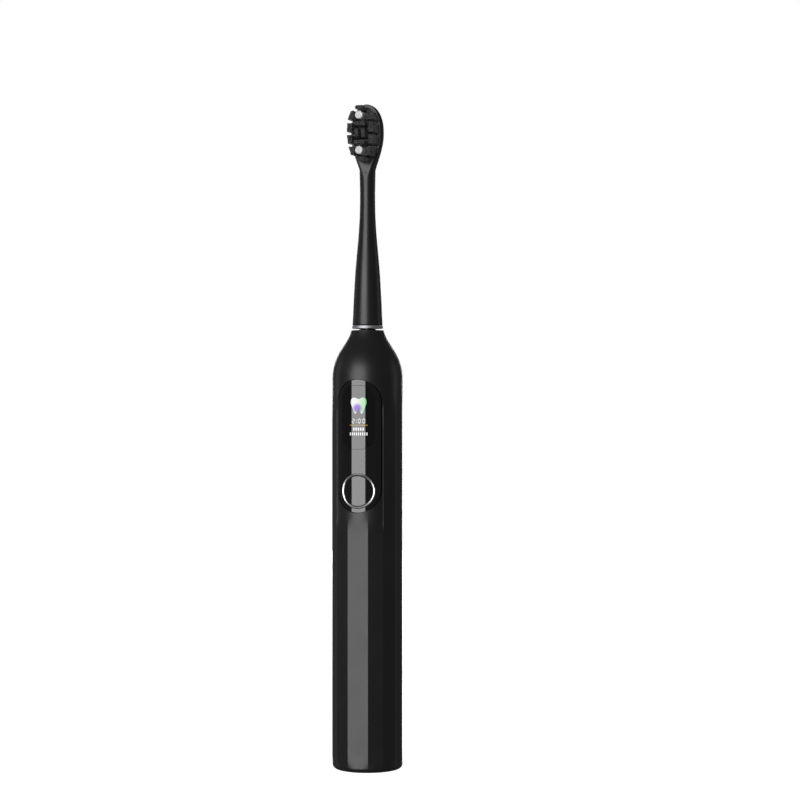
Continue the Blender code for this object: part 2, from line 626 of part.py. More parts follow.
# ---------------------------------------------------------------- brush head

head_axis = add_joint_empty("head_axis", (0, 0, HEAD_BASE_Z))


def plate_half_width(z):
    """Half width of the neck and bristle plate, seen from the front, at height z."""
    if z >= PLATE_WIDEST_Z:
        t = (z - PLATE_WIDEST_Z) / (TOTAL_H - PLATE_WIDEST_Z)
        return PLATE_HALF_W * max(1 - t ** 2.3, 0.0) ** 0.5
    if z <= NECK_WAIST_Z:
        t = (z - HEAD_BASE_Z) / (NECK_WAIST_Z - HEAD_BASE_Z)
        drop = (NECK_BASE_R - NECK_WAIST_R) * (t - 0.16 * sin(2 * pi * min(t, 1.0)) * t)
        return NECK_BASE_R - drop
    if z <= PLATE_HEEL_Z:
        return NECK_WAIST_R + 0.15 * MM * smooth(z, NECK_WAIST_Z, PLATE_HEEL_Z)
    neck = NECK_WAIST_R + 0.15 * MM
    t = ((z - PLATE_HEEL_Z) / (PLATE_WIDEST_Z - PLATE_HEEL_Z)) ** 0.68
    return neck + (PLATE_HALF_W - neck) * smooth(t, 0, 1)


def head_section(z, count=28):
    """Ring of points at height z: round on the neck, flat in front and rounded behind on the plate."""
    half = plate_half_width(z)
    blend = smooth(z, 221 * MM, 231 * MM)
    edge = 0.5 + 0.5 * (half / PLATE_HALF_W) if z > PLATE_WIDEST_Z else 1.0
    back = half + (PLATE_BACK * edge - half) * blend
    front = half + (PLATE_CROWN - half) * blend
    depth = min(max((z - FRONT_FLAT_Z[0]) / (FRONT_FLAT_Z[1] - FRONT_FLAT_Z[0]), 0), 1)
    flat = half + (PLATE_FRONT * edge ** 0.3 - half) * depth
    points = []
    for i in range(count):
        a = 2 * pi * i / count
        x = half * sin(a)
        y = -cos(a) * (front if cos(a) > 0 else back)
        points.append((x, max(y, -flat), z))
    return points


neck_heights = [166.9, 173, 179, 185, 191, 197, 203, 209, 216, 219]
plate_heights = [221, 223, 225, 226.5, 228, 229.5, 231, 233, 236, 239, 242, 244.5, 246.5, 248,
                 249, 249.7, 250]
head_rings = [head_section(min(h * MM, TOTAL_H - 0.02 * MM)) for h in neck_heights + plate_heights]
brush_head = loft("brush_head", head_rings, "head_black", head_axis)
head_bore = lathe("head_bore", [(0, HEAD_BORE_TOP), (HEAD_BORE_R, HEAD_BORE_TOP),
                                (HEAD_BORE_R, 160 * MM), (0, 160 * MM)])
boolean(brush_head, head_bore)

ring("id_ring", ID_RING_BORE_R, NECK_BASE_R, HEAD_BASE_Z, HEAD_BASE_Z + ID_RING_H, "polished_steel",
     head_axis, steps=48)
flange_top = SLEEVE_Z[0] + SLEEVE_FLANGE_T
lathe("shaft_sleeve", [(SLEEVE_BORE_R, SLEEVE_Z[1]), (SLEEVE_R, SLEEVE_Z[1]), (SLEEVE_R, flange_top),
                       (SLEEVE_FLANGE_R, flange_top), (SLEEVE_FLANGE_R, SLEEVE_Z[0]),
                       (SLEEVE_BORE_R, SLEEVE_Z[0])], "head_insert", head_axis, closed=True)
box("retaining_clip", (-CLIP_HALF_W, SHAFT_FLAT_Y - 0.45 * MM, CLIP_Z[0]),
    (CLIP_HALF_W, SHAFT_FLAT_Y - 0.18 * MM, CLIP_Z[1]), "spring_steel", head_axis)

# ---------------------------------------------------------------- tufts


def side_tuft(side, low, high, inner):
    """Outline of a tuft beside the middle ones: straight inside, following the plate's edge outside."""
    heights = [low + (high - low) * i / 3 for i in range(4)]
    outer = [(side * (plate_half_width(z) - TUFT_MARGIN), z) for z in heights]
    points = [(side * inner, low)] + outer + [(side * inner, high)]
    return points if side > 0 else points[::-1]


# Sizes in mm. Side blocks: low, high, inner edge. Bars across: low, high, half width, reach.
SIDE_BLOCKS = [(229.9, 233.55, 2.45), (234.1, 237.95, 3.0), (238.5, 242.35, 3.0), (243.2, 246.9, 2.45)]
WHITES = {"tuft_white_lower": 231.8, "tuft_white_upper": 244.9}
BARS = {"tuft_bar_lower": (233.95, 235.75, 2.35, 11.3), "tuft_bar_upper": (240.95, 242.75, 2.35, 11.3),
        "tuft_tip": (247.0, 248.6, 1.9, 11.3), "tuft_heel": (228.1, 229.75, 2.0, 10.2)}
tufts = []
for name, height in WHITES.items():
    tufts.append((name, circle(WHITE_TUFT_R, (0, height * MM), 16), WHITE_REACH, "bristle_white"))
for name, (low, high, half_w, reach) in BARS.items():
    outline = rounded_box(half_w * MM, low * MM, high * MM, 0.7 * MM, 3)
    tufts.append((name, outline, reach * MM, "bristle_black"))
for side, name in ((-1, "left"), (1, "right")):
    outline = rounded_box(UPRIGHT_HALF_W, *UPRIGHT_Z, 0.6 * MM, 3, centre=side * UPRIGHT_X)
    tufts.append(("tuft_bar_" + name, outline, UPRIGHT_REACH, "bristle_black"))
    for index, (low, high, inner) in enumerate(SIDE_BLOCKS):
        outline = side_tuft(side, low * MM, high * MM, inner * MM)
        tufts.append((f"tuft_{name}_{index + 1}", outline, SIDE_REACH, "bristle_black"))


def grown(outline, amount):
    """The outline pushed out from its own centre line by about amount on every side."""
    us, vs = zip(*outline)
    cu, cv = (min(us) + max(us)) / 2, (min(vs) + max(vs)) / 2
    ku = 1 + 2 * amount / (max(us) - min(us))
    kv = 1 + 2 * amount / (max(vs) - min(vs))
    return [(cu + (u - cu) * ku, cv + (v - cv) * kv) for u, v in outline]


TUFT_ROOT = -PLATE_FRONT + TUFT_ROOT_DEPTH
for name, outline, reach, material in tufts:
    prism(name, [outline], -reach, TUFT_ROOT, FACE_Y, material, head_axis)
pocket_outlines = [grown(outline, FIT) for name, outline, reach, material in tufts]
boolean(brush_head, prism("tuft_pockets", pocket_outlines, -14 * MM, TUFT_ROOT + FIT, FACE_Y))
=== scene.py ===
import random
from math import atan2, cos, hypot, pi, radians, sin, sqrt

import bmesh
import bpy
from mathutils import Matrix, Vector


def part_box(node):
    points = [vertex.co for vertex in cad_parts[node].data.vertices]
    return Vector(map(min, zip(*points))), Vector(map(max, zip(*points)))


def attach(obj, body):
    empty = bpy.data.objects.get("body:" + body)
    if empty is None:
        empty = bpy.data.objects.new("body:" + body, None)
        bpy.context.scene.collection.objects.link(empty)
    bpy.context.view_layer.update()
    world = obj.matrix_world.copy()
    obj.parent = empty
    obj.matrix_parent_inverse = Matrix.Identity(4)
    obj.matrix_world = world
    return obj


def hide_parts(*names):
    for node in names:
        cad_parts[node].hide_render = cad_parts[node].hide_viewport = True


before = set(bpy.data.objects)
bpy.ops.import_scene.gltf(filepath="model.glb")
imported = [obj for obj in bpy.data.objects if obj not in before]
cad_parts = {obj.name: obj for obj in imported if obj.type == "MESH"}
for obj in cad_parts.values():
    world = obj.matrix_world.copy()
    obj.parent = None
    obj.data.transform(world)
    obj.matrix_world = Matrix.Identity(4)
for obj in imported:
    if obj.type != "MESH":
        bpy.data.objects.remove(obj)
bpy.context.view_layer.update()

# ---------------------------------------------------------------------------------------
# Camera: a long lens, level, at mid height. The brush's front is turned a little away
# from it, and the brush stands just left of the middle of the picture.
# ---------------------------------------------------------------------------------------

MM = 0.001
VIEW_TURN = radians(15.8)
VIEW_DISTANCE = 829 * MM
VIEW_ASIDE = 12.2 * MM
VIEW_HEIGHT = 138.8 * MM

toward_camera = Vector((sin(VIEW_TURN), -cos(VIEW_TURN), 0))
camera_right = Vector((cos(VIEW_TURN), sin(VIEW_TURN), 0))
camera_data = bpy.data.cameras.new("studio_camera")
camera_data.sensor_width = 36
camera_data.lens = 99
camera_data.clip_start = 0.01
camera = bpy.data.objects.new("studio_camera", camera_data)
camera.location = toward_camera * VIEW_DISTANCE + camera_right * VIEW_ASIDE
camera.location.z = VIEW_HEIGHT
camera.rotation_euler = (radians(90), 0, VIEW_TURN)
bpy.context.scene.collection.objects.link(camera)
bpy.context.scene.camera = camera

# ---------------------------------------------------------------------------------------
# Handle shell. One long ABS tube, moulded with thirteen equal facets and a wider one in
# front. The facets fade into a round shoulder and a round foot. A stadium-shaped recess
# in the front takes the glossy panel.
# ---------------------------------------------------------------------------------------

shell_low, shell_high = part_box("handle_shell")
HANDLE_R = shell_high.x
SHELL_FOOT = shell_low.z
SHELL_TOP = shell_high.z
FOOT_FILLET = 2.0 * MM
FRONT_FACET = radians(34.4)
SIDE_FACETS = 13
SHOULDER_Z = 146.7 * MM
SHOULDER_ARC = 20.3 * MM
SHOULDER_SLOPE = radians(33.4)
FLARE_ARC = 15.5 * MM
FLARE_SLOPE = radians(16.2)
SHOULDER_TOP_R = 6.1 * MM
FOOT_FADE_Z = (1 * MM, 7 * MM)          # heights between which the facets rise from the round foot
PANEL_FADE_Z = (88 * MM, 96 * MM)       # and fade out below the panel
SHOULDER_FADE_Z = (127 * MM, 144 * MM)  # and fade out into the shoulder
FACET_OVERSIZE = 1.0095                 # the facets' corners stand a little outside the round shoulder
CORNER_SHARE = 0.9995                   # how much of that their eased corners keep
EDGE_SHARPNESS = 600                    # higher keeps the lines between facets crisper


def smooth(x, low, high):
    t = min(max((x - low) / (high - low), 0.0), 1.0)
    return t * t * (3 - 2 * t)


def round_radius(z):
    """Radius of the handle before its facets are cut, at height z."""
    arc_end = SHOULDER_Z + SHOULDER_ARC * sin(SHOULDER_SLOPE)
    flare_z = SHELL_TOP + FLARE_ARC * sin(FLARE_SLOPE)
    flare_r = SHOULDER_TOP_R + FLARE_ARC * cos(FLARE_SLOPE)
    flare_start = flare_z - FLARE_ARC * sin(SHOULDER_SLOPE)
    arc_end_r = HANDLE_R - SHOULDER_ARC * (1 - cos(SHOULDER_SLOPE))
    flare_start_r = flare_r - FLARE_ARC * cos(SHOULDER_SLOPE)
    if z < SHELL_FOOT + FOOT_FILLET:
        rise = FOOT_FILLET - (z - SHELL_FOOT)
        return HANDLE_R - FOOT_FILLET + sqrt(max(FOOT_FILLET ** 2 - rise ** 2, 0))
    if z <= SHOULDER_Z:
        return HANDLE_R
    if z <= arc_end:
        return HANDLE_R - SHOULDER_ARC + sqrt(SHOULDER_ARC ** 2 - (z - SHOULDER_Z) ** 2)
    if z <= flare_start:
        t = (z - arc_end) / (flare_start - arc_end)
        return arc_end_r + (flare_start_r - arc_end_r) * t
    return flare_r - sqrt(FLARE_ARC ** 2 - (flare_z - z) ** 2)


def facet_at(angle):
    """(middle, half width, touches the panel) of the facet that holds an angle from the front."""
    side = (2 * pi - FRONT_FACET) / SIDE_FACETS
    turn = (angle + FRONT_FACET / 2) % (2 * pi)
    if turn < FRONT_FACET:
        return 0.0, FRONT_FACET / 2, True
    index = min(int((turn - FRONT_FACET) / side), SIDE_FACETS - 1)
    middle = FRONT_FACET / 2 + side * (index + 0.5)
    return middle, side / 2, index in (0, SIDE_FACETS - 1)


def handle_radius(angle, z):
    """Distance of the faceted surface from the axis."""
    middle, half, by_panel = facet_at(angle)
    flat = FACET_OVERSIZE * cos(half) / cos((angle - middle + pi) % (2 * pi) - pi)
    corner = FACET_OVERSIZE * CORNER_SHARE
    flat = corner * ((flat / corner) ** -EDGE_SHARPNESS + 1) ** (-1 / EDGE_SHARPNESS)
    fade = smooth(z, *FOOT_FADE_Z) * (1 - smooth(z, *(PANEL_FADE_Z if by_panel else SHOULDER_FADE_Z)))
    return round_radius(z) * (1 + (flat - 1) * fade)


def on_handle(angle, z):
    r = handle_radius(angle, z)
    return Vector((r * sin(angle), -r * cos(angle), z))


def handle_normal(point):
    """Outward direction of the faceted surface at a point on it."""
    angle = atan2(point.x, -point.y)
    z = min(max(point.z, SHELL_FOOT + 0.05 * MM), SHELL_TOP - 0.05 * MM)
    step_a, step_z = 0.002, 0.04 * MM
    around = on_handle(angle + step_a, z) - on_handle(angle - step_a, z)
    up = on_handle(angle, z + step_z) - on_handle(angle, z - step_z)
    return around.cross(up).normalized()


def link(name, mesh):
    obj = bpy.data.objects.new(name, mesh)
    bpy.context.scene.collection.objects.link(obj)
    return obj


def skin(name, rings, closed=False):
    """Join rings of points, each anticlockwise from above, in order up the outer side."""
    count = len(rings[0])
    verts = [tuple(point) for ring in rings for point in ring]
    faces = []
    spans = len(rings) if closed else len(rings) - 1
    for k in range(spans):
        low, high = k * count, (k + 1) % len(rings) * count
        for i in range(count):
            j = (i + 1) % count
            faces.append((low + i, low + j, high + j, high + i))
    if not closed:
        faces.append(tuple(reversed(range(count))))
        faces.append(tuple(range((len(rings) - 1) * count, len(rings) * count)))
    mesh = bpy.data.meshes.new(name)
    mesh.from_pydata(verts, [], faces)
    mesh.update()
    return link(name, mesh)


def turned(name, profile, steps=96, closed=True):
    """Turn (radius, z) points, given down the outer side, about the handle's axis."""
    turns = [2 * pi * i / steps for i in range(steps)]
    rings = [[(r * cos(a), r * sin(a), z) for a in turns] for r, z in reversed(profile)]
    return skin(name, rings, closed=closed)


def push_outline(bm, outline, near, far):
    """Add an upright outline of (x, z) points pushed from y = near to y = far."""
    face = bm.faces.new([bm.verts.new((x, near, z)) for x, z in outline])
    pushed = bmesh.ops.extrude_face_region(bm, geom=[face])
    moved = [item for item in pushed["geom"] if isinstance(item, bmesh.types.BMVert)]
    bmesh.ops.translate(bm, verts=moved, vec=(0, far - near, 0))


def mesh_object(name, bm):
    """Turn a bmesh into a linked object with its faces outward."""
    bmesh.ops.recalc_face_normals(bm, faces=bm.faces)
    mesh = bpy.data.meshes.new(name)
    bm.to_mesh(mesh)
    bm.free()
    return link(name, mesh)


def prism(name, outline, near, far):
    bm = bmesh.new()
    push_outline(bm, outline, near, far)
    return mesh_object(name, bm)


def apply_modifiers(obj):
    bpy.context.view_layer.update()
    depsgraph = bpy.context.evaluated_depsgraph_get()
    mesh = bpy.data.meshes.new_from_object(obj.evaluated_get(depsgraph))
    obj.modifiers.clear()
    obj.data = mesh
    return obj


def carve(obj, *tools, operation="DIFFERENCE"):
    """Cut obj by each tool, which is used up."""
    for tool in tools:
        cut = obj.modifiers.new("cut", "BOOLEAN")
        cut.operation = operation
        cut.solver = "EXACT"
        cut.object = tool
    apply_modifiers(obj)
    for tool in tools:
        bpy.data.objects.remove(tool, do_unlink=True)
    return obj


def soften(obj, width, angle=50, segments=2):
    """Round the edges sharper than angle."""
    bevel = obj.modifiers.new("edges", "BEVEL")
    bevel.width = width
    bevel.segments = segments
    bevel.limit_method = "ANGLE"
    bevel.angle_limit = radians(angle)
    return apply_modifiers(obj)


def shade(obj, angle=30):
    obj.data.shade_smooth()
    obj.data.set_sharp_from_angle(angle=radians(angle))
    return obj


def shade_as(obj, true_normal, tolerance=0.97):
    """Smooth the shading, and give faces that lie on a known surface that surface's own normals."""
    shade(obj)
    mesh = obj.data
    normals = [(0.0, 0.0, 0.0)] * len(mesh.loops)
    for face in mesh.polygons:
        middle = true_normal(face.center)
        if middle is None or middle.dot(face.normal) < tolerance:
            continue
        for i in face.loop_indices:
            normals[i] = tuple(true_normal(mesh.vertices[mesh.loops[i].vertex_index].co))
    mesh.normals_split_custom_set(normals)
    return obj


def round_box(half_w, low, high, corner, count=16):
    """Outline of an upright rectangle with round corners, a stadium when the corner is the half width."""
    points = []
    for cu, cv, start in ((half_w - corner, high - corner, 0), (corner - half_w, high - corner, 90),
                          (corner - half_w, low + corner, 180), (half_w - corner, low + corner, 270)):
        for i in range(count + 1):
            a = radians(start + 90 * i / count)
            point = (cu + corner * cos(a), cv + corner * sin(a))
            if not points or hypot(point[0] - points[-1][0], point[1] - points[-1][1]) > 1e-6:
                points.append(point)
    if hypot(points[0][0] - points[-1][0], points[0][1] - points[-1][1]) < 1e-6:
        points.pop()
    return points


def round_outline(radius, middle_z, count=96):
    turns = [2 * pi * i / count for i in range(count)]
    return [(radius * cos(a), middle_z + radius * sin(a)) for a in turns]


def steps_between(low, high, count):
    return [low + (high - low) * i / count for i in range(count)]


panel_low, panel_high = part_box("front_panel")
button_low, button_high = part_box("button_ring")
PANEL_GROOVE = 0.3 * MM
PANEL_SEAT_R = 11.75 * MM
SEAT_Z = (90 * MM, 150 * MM)
SHELL_WALL = 2.4 * MM
SEAL_HOLE_R = 3.9 * MM
WINDOW_HALF_W = 6.3 * MM
WINDOW_Z = (120.3 * MM, 144.4 * MM)
BUTTON_Z = (button_low.z + button_high.z) / 2
STEM_HOLE_R = 2.95 * MM
CUT_FRONT = -16 * MM          # cutters start here, in front of the handle
CUT_BACK = -8 * MM            # and end here, inside it
SAMPLES_PER_FACET = 14

facet_angles = []
facet_start = -FRONT_FACET / 2
for index in range(SIDE_FACETS + 1):
    width = FRONT_FACET if index == 0 else (2 * pi - FRONT_FACET) / SIDE_FACETS
    for i in range(SAMPLES_PER_FACET):
        facet_angles.append(facet_start + width * (0.5 - 0.5 * cos(pi * i / SAMPLES_PER_FACET)))
    facet_start += width

shell_heights = [SHELL_FOOT + FOOT_FILLET * (1 - cos(pi / 2 * i / 10)) for i in range(10)]
# Rings lie close together only where the section changes with height.
levels = [SHELL_FOOT + FOOT_FILLET, FOOT_FADE_Z[1] + MM, PANEL_FADE_Z[0] - 2 * MM, PANEL_FADE_Z[1] + 2 * MM,
          SHOULDER_FADE_Z[0] - MM, SHELL_TOP]
for low, high, count in zip(levels, levels[1:], (10, 16, 16, 10, 70)):
    shell_heights += steps_between(low, high, count)
shell_heights.append(SHELL_TOP)
shell = skin("handle_tube", [[on_handle(a, z) for a in facet_angles] for z in shell_heights])

cavity = turned("cavity", [
    (SEAL_HOLE_R, SHELL_TOP + 2 * MM), (SEAL_HOLE_R, 161.5 * MM), (5.6 * MM, 157.5 * MM),
    (9.0 * MM, 152.5 * MM), (HANDLE_R - SHELL_WALL, 146.4 * MM), (HANDLE_R - SHELL_WALL, -2 * MM)],
    closed=False)
seat = turned("seat", [(PANEL_SEAT_R, SEAT_Z[1]), (HANDLE_R + 2 * MM, SEAT_Z[1]),
                       (HANDLE_R + 2 * MM, SEAT_Z[0]), (PANEL_SEAT_R, SEAT_Z[0])], steps=240)
seat_half_w = panel_high.x + PANEL_GROOVE
seat_outline = round_box(seat_half_w, panel_low.z - PANEL_GROOVE, panel_high.z + PANEL_GROOVE,
                         seat_half_w, 24)
carve(seat, prism("seat_outline", seat_outline, CUT_FRONT, CUT_BACK), operation="INTERSECT")
window = prism("window", round_box(WINDOW_HALF_W, *WINDOW_Z, MM, 4), CUT_FRONT, CUT_BACK)
stem_hole = prism("stem_hole", round_outline(STEM_HOLE_R, BUTTON_Z, 32), CUT_FRONT, CUT_BACK)
carve(shell, cavity, seat, window, stem_hole)
outer_face_from = SHOULDER_TOP_R - 0.2 * MM
shade_as(shell, lambda p: handle_normal(p) if hypot(p.x, p.y) > outer_face_from else None)


def linear(hex_code):
    """sRGB hex to the linear colour that shaders take."""
    channels = [int(hex_code[i:i + 2], 16) / 255 for i in (1, 3, 5)]
    return tuple(c / 12.92 if c <= 0.04045 else ((c + 0.055) / 1.055) ** 2.4 for c in channels) + (1.0,)


def add(material, kind, inputs=None, **settings):
    """Add a shader node with its settings, and fill its sockets with values or links."""
    new = material.node_tree.nodes.new("ShaderNode" + kind)
    for key, value in settings.items():
        setattr(new, key, value)
    for socket, value in (inputs or {}).items():
        if isinstance(value, bpy.types.NodeSocket):
            material.node_tree.links.new(value, new.inputs[socket])
        else:
            new.inputs[socket].default_value = value
    return new


def new_material(name):
    material = bpy.data.materials.new(name)
    material.use_nodes = True
    material.node_tree.nodes.clear()
    return material


def finish_material(material, shader_inputs):
    """Close a material with a Principled shader."""
    shader = add(material, "BsdfPrincipled", shader_inputs)
    add(material, "OutputMaterial", {"Surface": shader.outputs["BSDF"]})
    return material


def dress(obj, material):
    obj.data.materials.clear()
    obj.data.materials.append(material)


def moulded_abs_satin(name, hex_code, roughness):
    """Plastic from a finely etched mould: even black, its soft sheen broken by faint orange peel."""
    material = new_material(name)
    place = add(material, "TexCoord")
    etch = add(material, "TexNoise", {"Vector": place.outputs["Object"], "Scale": 1 / (0.5 * MM),
                                      "Detail": 2.0, "Roughness": 0.6})
    handling = add(material, "TexNoise", {"Vector": place.outputs["Object"], "Scale": 1 / (14 * MM),
                                          "Detail": 3.0})
    rough = add(material, "MapRange", {"Value": handling.outputs["Fac"], "From Min": 0.3, "From Max": 0.7,
                                       "To Min": roughness - 0.02, "To Max": roughness + 0.025})
    tint = add(material, "MapRange", {"Value": handling.outputs["Fac"], "From Min": 0.3, "From Max": 0.7,
                                      "To Min": 0.9, "To Max": 1.1})
    colour = add(material, "VectorMath", {0: linear(hex_code)[:3], 3: tint.outputs["Result"]},
                 operation="SCALE")
    bump = add(material, "Bump", {"Height": etch.outputs["Fac"], "Strength": 0.02, "Distance": 0.02 * MM})
    return finish_material(material, {
        "Base Color": colour.outputs["Vector"], "Roughness": rough.outputs["Result"], "IOR": 1.5,
        "Normal": bump.outputs["Normal"]})


dress(shell, moulded_abs_satin("moulded_abs_satin_black", "#1f1f20", 0.36))
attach(shell, "handle")
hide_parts("handle_shell")

# ---------------------------------------------------------------------------------------
# Front panel and display lens. Both are clear acrylic, backed with black and bent to the
# handle's curve. The panel is bonded into the shell's recess, and the lens into the panel.
# ---------------------------------------------------------------------------------------

PANEL_INNER_R = HANDLE_R - 1.0 * MM
PANEL_EDGE_ROUND = 0.12 * MM
LENS_EDGE_ROUND = 0.08 * MM
LENS_CORNER = 4.8 * MM
LENS_GAP = 0.1 * MM
BUTTON_GAP = 0.1 * MM
RING_R = button_high.x


def curved_sheet(name, inner, outer, low, high, steps=220, half_turn=radians(50)):
    """A stretch of tube wall round the handle's front."""
    turns = [half_turn * (2 * i / steps - 1) for i in range(steps + 1)]
    section = [(outer * sin(a), -outer * cos(a)) for a in turns]
    section += [(inner * sin(a), -inner * cos(a)) for a in reversed(turns)]
    return skin(name, [[(x, y, z) for x, y in section] for z in (low, high)])


def radial(point):
    return Vector((point.x, point.y, 0)).normalized()


def shade_tube(obj, radius):
    """Smooth a bent sheet and give its outer face a cylinder's normals."""
    shade(obj)
    mesh = obj.data
    normals = [(0.0, 0.0, 0.0)] * len(mesh.loops)
    for face in mesh.polygons:
        on_surface = all(abs(mesh.vertices[v].co.xy.length - radius) < 0.01 * MM for v in face.vertices)
        if on_surface and face.normal.dot(radial(face.center)) > 0.98:
            for i in face.loop_indices:
                normals[i] = tuple(radial(mesh.vertices[mesh.loops[i].vertex_index].co))
    mesh.normals_split_custom_set(normals)
    return obj


lens_low, lens_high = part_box("display_lens")
panel = curved_sheet("panel_cover", PANEL_INNER_R, HANDLE_R, panel_low.z - MM, panel_high.z + MM)
panel_outline = round_box(panel_high.x, panel_low.z, panel_high.z, panel_high.x, 28)
carve(panel, prism("edge", panel_outline, CUT_FRONT, CUT_BACK), operation="INTERSECT")
lens_hole = round_box(lens_high.x + LENS_GAP, lens_low.z - LENS_GAP, lens_high.z + LENS_GAP,
                      LENS_CORNER + LENS_GAP)
button_hole = round_outline(RING_R + BUTTON_GAP, BUTTON_Z, 128)
carve(panel, prism("lens_hole", lens_hole, CUT_FRONT, CUT_BACK),
      prism("button_hole", button_hole, CUT_FRONT, CUT_BACK))
soften(panel, PANEL_EDGE_ROUND)
shade_tube(panel, HANDLE_R)

lens = curved_sheet("lens_window", PANEL_INNER_R, HANDLE_R, lens_low.z - MM, lens_high.z + MM)
lens_outline = round_box(lens_high.x, lens_low.z, lens_high.z, LENS_CORNER)
carve(lens, prism("edge", lens_outline, CUT_FRONT, CUT_BACK), operation="INTERSECT")
soften(lens, LENS_EDGE_ROUND)
shade_tube(lens, HANDLE_R)


def backed_acrylic_gloss(name, hex_code, roughness):
    """Acrylic printed black behind and polished in front: mirror-clear, with a trace of wiping haze."""
    material = new_material(name)
    place = add(material, "TexCoord")
    haze = add(material, "TexNoise", {"Vector": place.outputs["Object"], "Scale": 1 / (9 * MM),
                                      "Detail": 4.0})
    rough = add(material, "MapRange", {"Value": haze.outputs["Fac"], "From Min": 0.4, "From Max": 0.75,
                                       "To Min": roughness, "To Max": roughness + 0.03})
    wave = add(material, "TexNoise", {"Vector": place.outputs["Object"], "Scale": 1 / (6 * MM)})
    bump = add(material, "Bump", {"Height": wave.outputs["Fac"], "Strength": 0.02, "Distance": 0.02 * MM})
    return finish_material(material, {
        "Base Color": linear(hex_code), "Roughness": rough.outputs["Result"], "IOR": 1.49,
        "Coat Weight": 0.68, "Coat Roughness": roughness, "Coat IOR": 1.49,
        "Normal": bump.outputs["Normal"]})


panel_acrylic = backed_acrylic_gloss("backed_acrylic_black", "#101011", 0.05)
dress(panel, panel_acrylic)
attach(panel, "handle")
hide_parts("front_panel")
dress(lens, backed_acrylic_gloss("smoked_acrylic_lens", "#030304", 0.03))
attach(lens, "handle")
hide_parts("display_lens")

# ---------------------------------------------------------------------------------------
# Display marks. What the lit display shows through its lens: a tooth sign, a running time,
# a gold rule, and two rows of level marks, all glowing and lying on the lens.
# ---------------------------------------------------------------------------------------

MARK_PROUD = 0.012 * MM
MARK_SUNK = 0.05 * MM
STRIP = 0.4 * MM        # the marks are cut into strips this wide before they are bent
# The marks' own sizes and heights, in mm.
MIDDLE = 0.4            # the display's middle lies this far right of the handle's
SIGN_Z = 136.7
TIME_Z = 131.0
DIGIT_HEIGHT = 1.55
RULE_Z = 129.45
ROW_Z = (128.0, 126.2)
ROW_BAR_HEIGHT = 1.1


def wrap_marks(name, outlines):
    """Thin solids of flat (across, up) outlines, in mm, bent round the handle on the lens."""
    bm = bmesh.new()
    for outline in outlines:
        push_outline(bm, [(u * MM, v * MM) for u, v in outline], 0, 1)
    for k in range(-16, 17):
        everything = list(bm.verts) + list(bm.edges) + list(bm.faces)
        bmesh.ops.bisect_plane(bm, geom=everything, plane_co=(k * STRIP, 0, 0), plane_no=(1, 0, 0))
    bmesh.ops.recalc_face_normals(bm, faces=bm.faces)
    for vert in bm.verts:
        u, depth, z = vert.co
        r = HANDLE_R + (MARK_PROUD if depth < 0.5 else -MARK_SUNK)
        turn = (u + MIDDLE * MM) / HANDLE_R
        vert.co = (r * sin(turn), -r * cos(turn), z)
    return mesh_object(name, bm)


def smooth_loop(points, count=6):
    """Closed curve through points, a few straight pieces between each pair."""
    loop = []
    total = len(points)
    for i in range(total):
        p0, p1, p2, p3 = (Vector(points[(i + k - 1) % total]) for k in range(4))
        for j in range(count):
            t = j / count
            at = 0.5 * (2 * p1 + (p2 - p0) * t + (2 * p0 - 5 * p1 + 4 * p2 - p3) * t * t
                        + (3 * p1 - p0 - 3 * p2 + p3) * t ** 3)
            loop.append((at.x, at.y))
    return loop


def bar(u, v, width, height):
    return [(u - width / 2, v - height / 2), (u + width / 2, v - height / 2),
            (u + width / 2, v + height / 2), (u - width / 2, v + height / 2)]


tooth_half = [(0.0, -0.55), (0.75, -2.6), (1.5, -2.9), (2.2, -1.2), (3.0, 0.9), (2.75, 2.5), (1.5, 3.0),
              (0.0, 2.45)]
tooth = tooth_half + [(-u, v) for u, v in reversed(tooth_half[1:-1])]
tooth_sign = wrap_marks("display_tooth_sign", [[(u, v + SIGN_Z) for u, v in smooth_loop(tooth)]])

SEGMENTS = {"0": "abcdef", "2": "abged"}


def digit(which, u, v, height):
    """Seven-segment figure centred on (u, v)."""
    w, t, half = height * 0.52, height * 0.2, height / 2
    place = {"a": (u, v + half, w, t), "d": (u, v - half, w, t), "g": (u, v, w, t),
             "b": (u + w / 2, v + half / 2, t, half), "c": (u + w / 2, v - half / 2, t, half),
             "f": (u - w / 2, v + half / 2, t, half), "e": (u - w / 2, v - half / 2, t, half)}
    shorter = {"a": (-t, 0), "d": (-t, 0), "g": (-t, 0)}
    bars = []
    for segment in SEGMENTS[which]:
        cu, cv, bw, bh = place[segment]
        dw, dh = shorter.get(segment, (0, -t))
        bars.append(bar(cu, cv, bw + dw * 1.15, bh + dh * 1.15))
    return bars


time_bars = []
for figure, across in (("2", -2.0), ("0", 0.35), ("0", 2.0)):
    time_bars += digit(figure, across, TIME_Z, DIGIT_HEIGHT)
time_bars += [bar(-0.82, TIME_Z + 0.4, 0.3, 0.3), bar(-0.82, TIME_Z - 0.4, 0.3, 0.3)]
time_marks = wrap_marks("display_time", time_bars)
rule = wrap_marks("display_rule", [bar(0, RULE_Z, 6.9, 0.26)])
level_bars = [bar(-1.8 + 0.9 * i, ROW_Z[0], 0.55, ROW_BAR_HEIGHT) for i in range(5)]
level_bars += [bar(-3.2 + 0.8 * i, ROW_Z[1], 0.42, ROW_BAR_HEIGHT) for i in range(9)]
level_marks = wrap_marks("display_levels", level_bars)


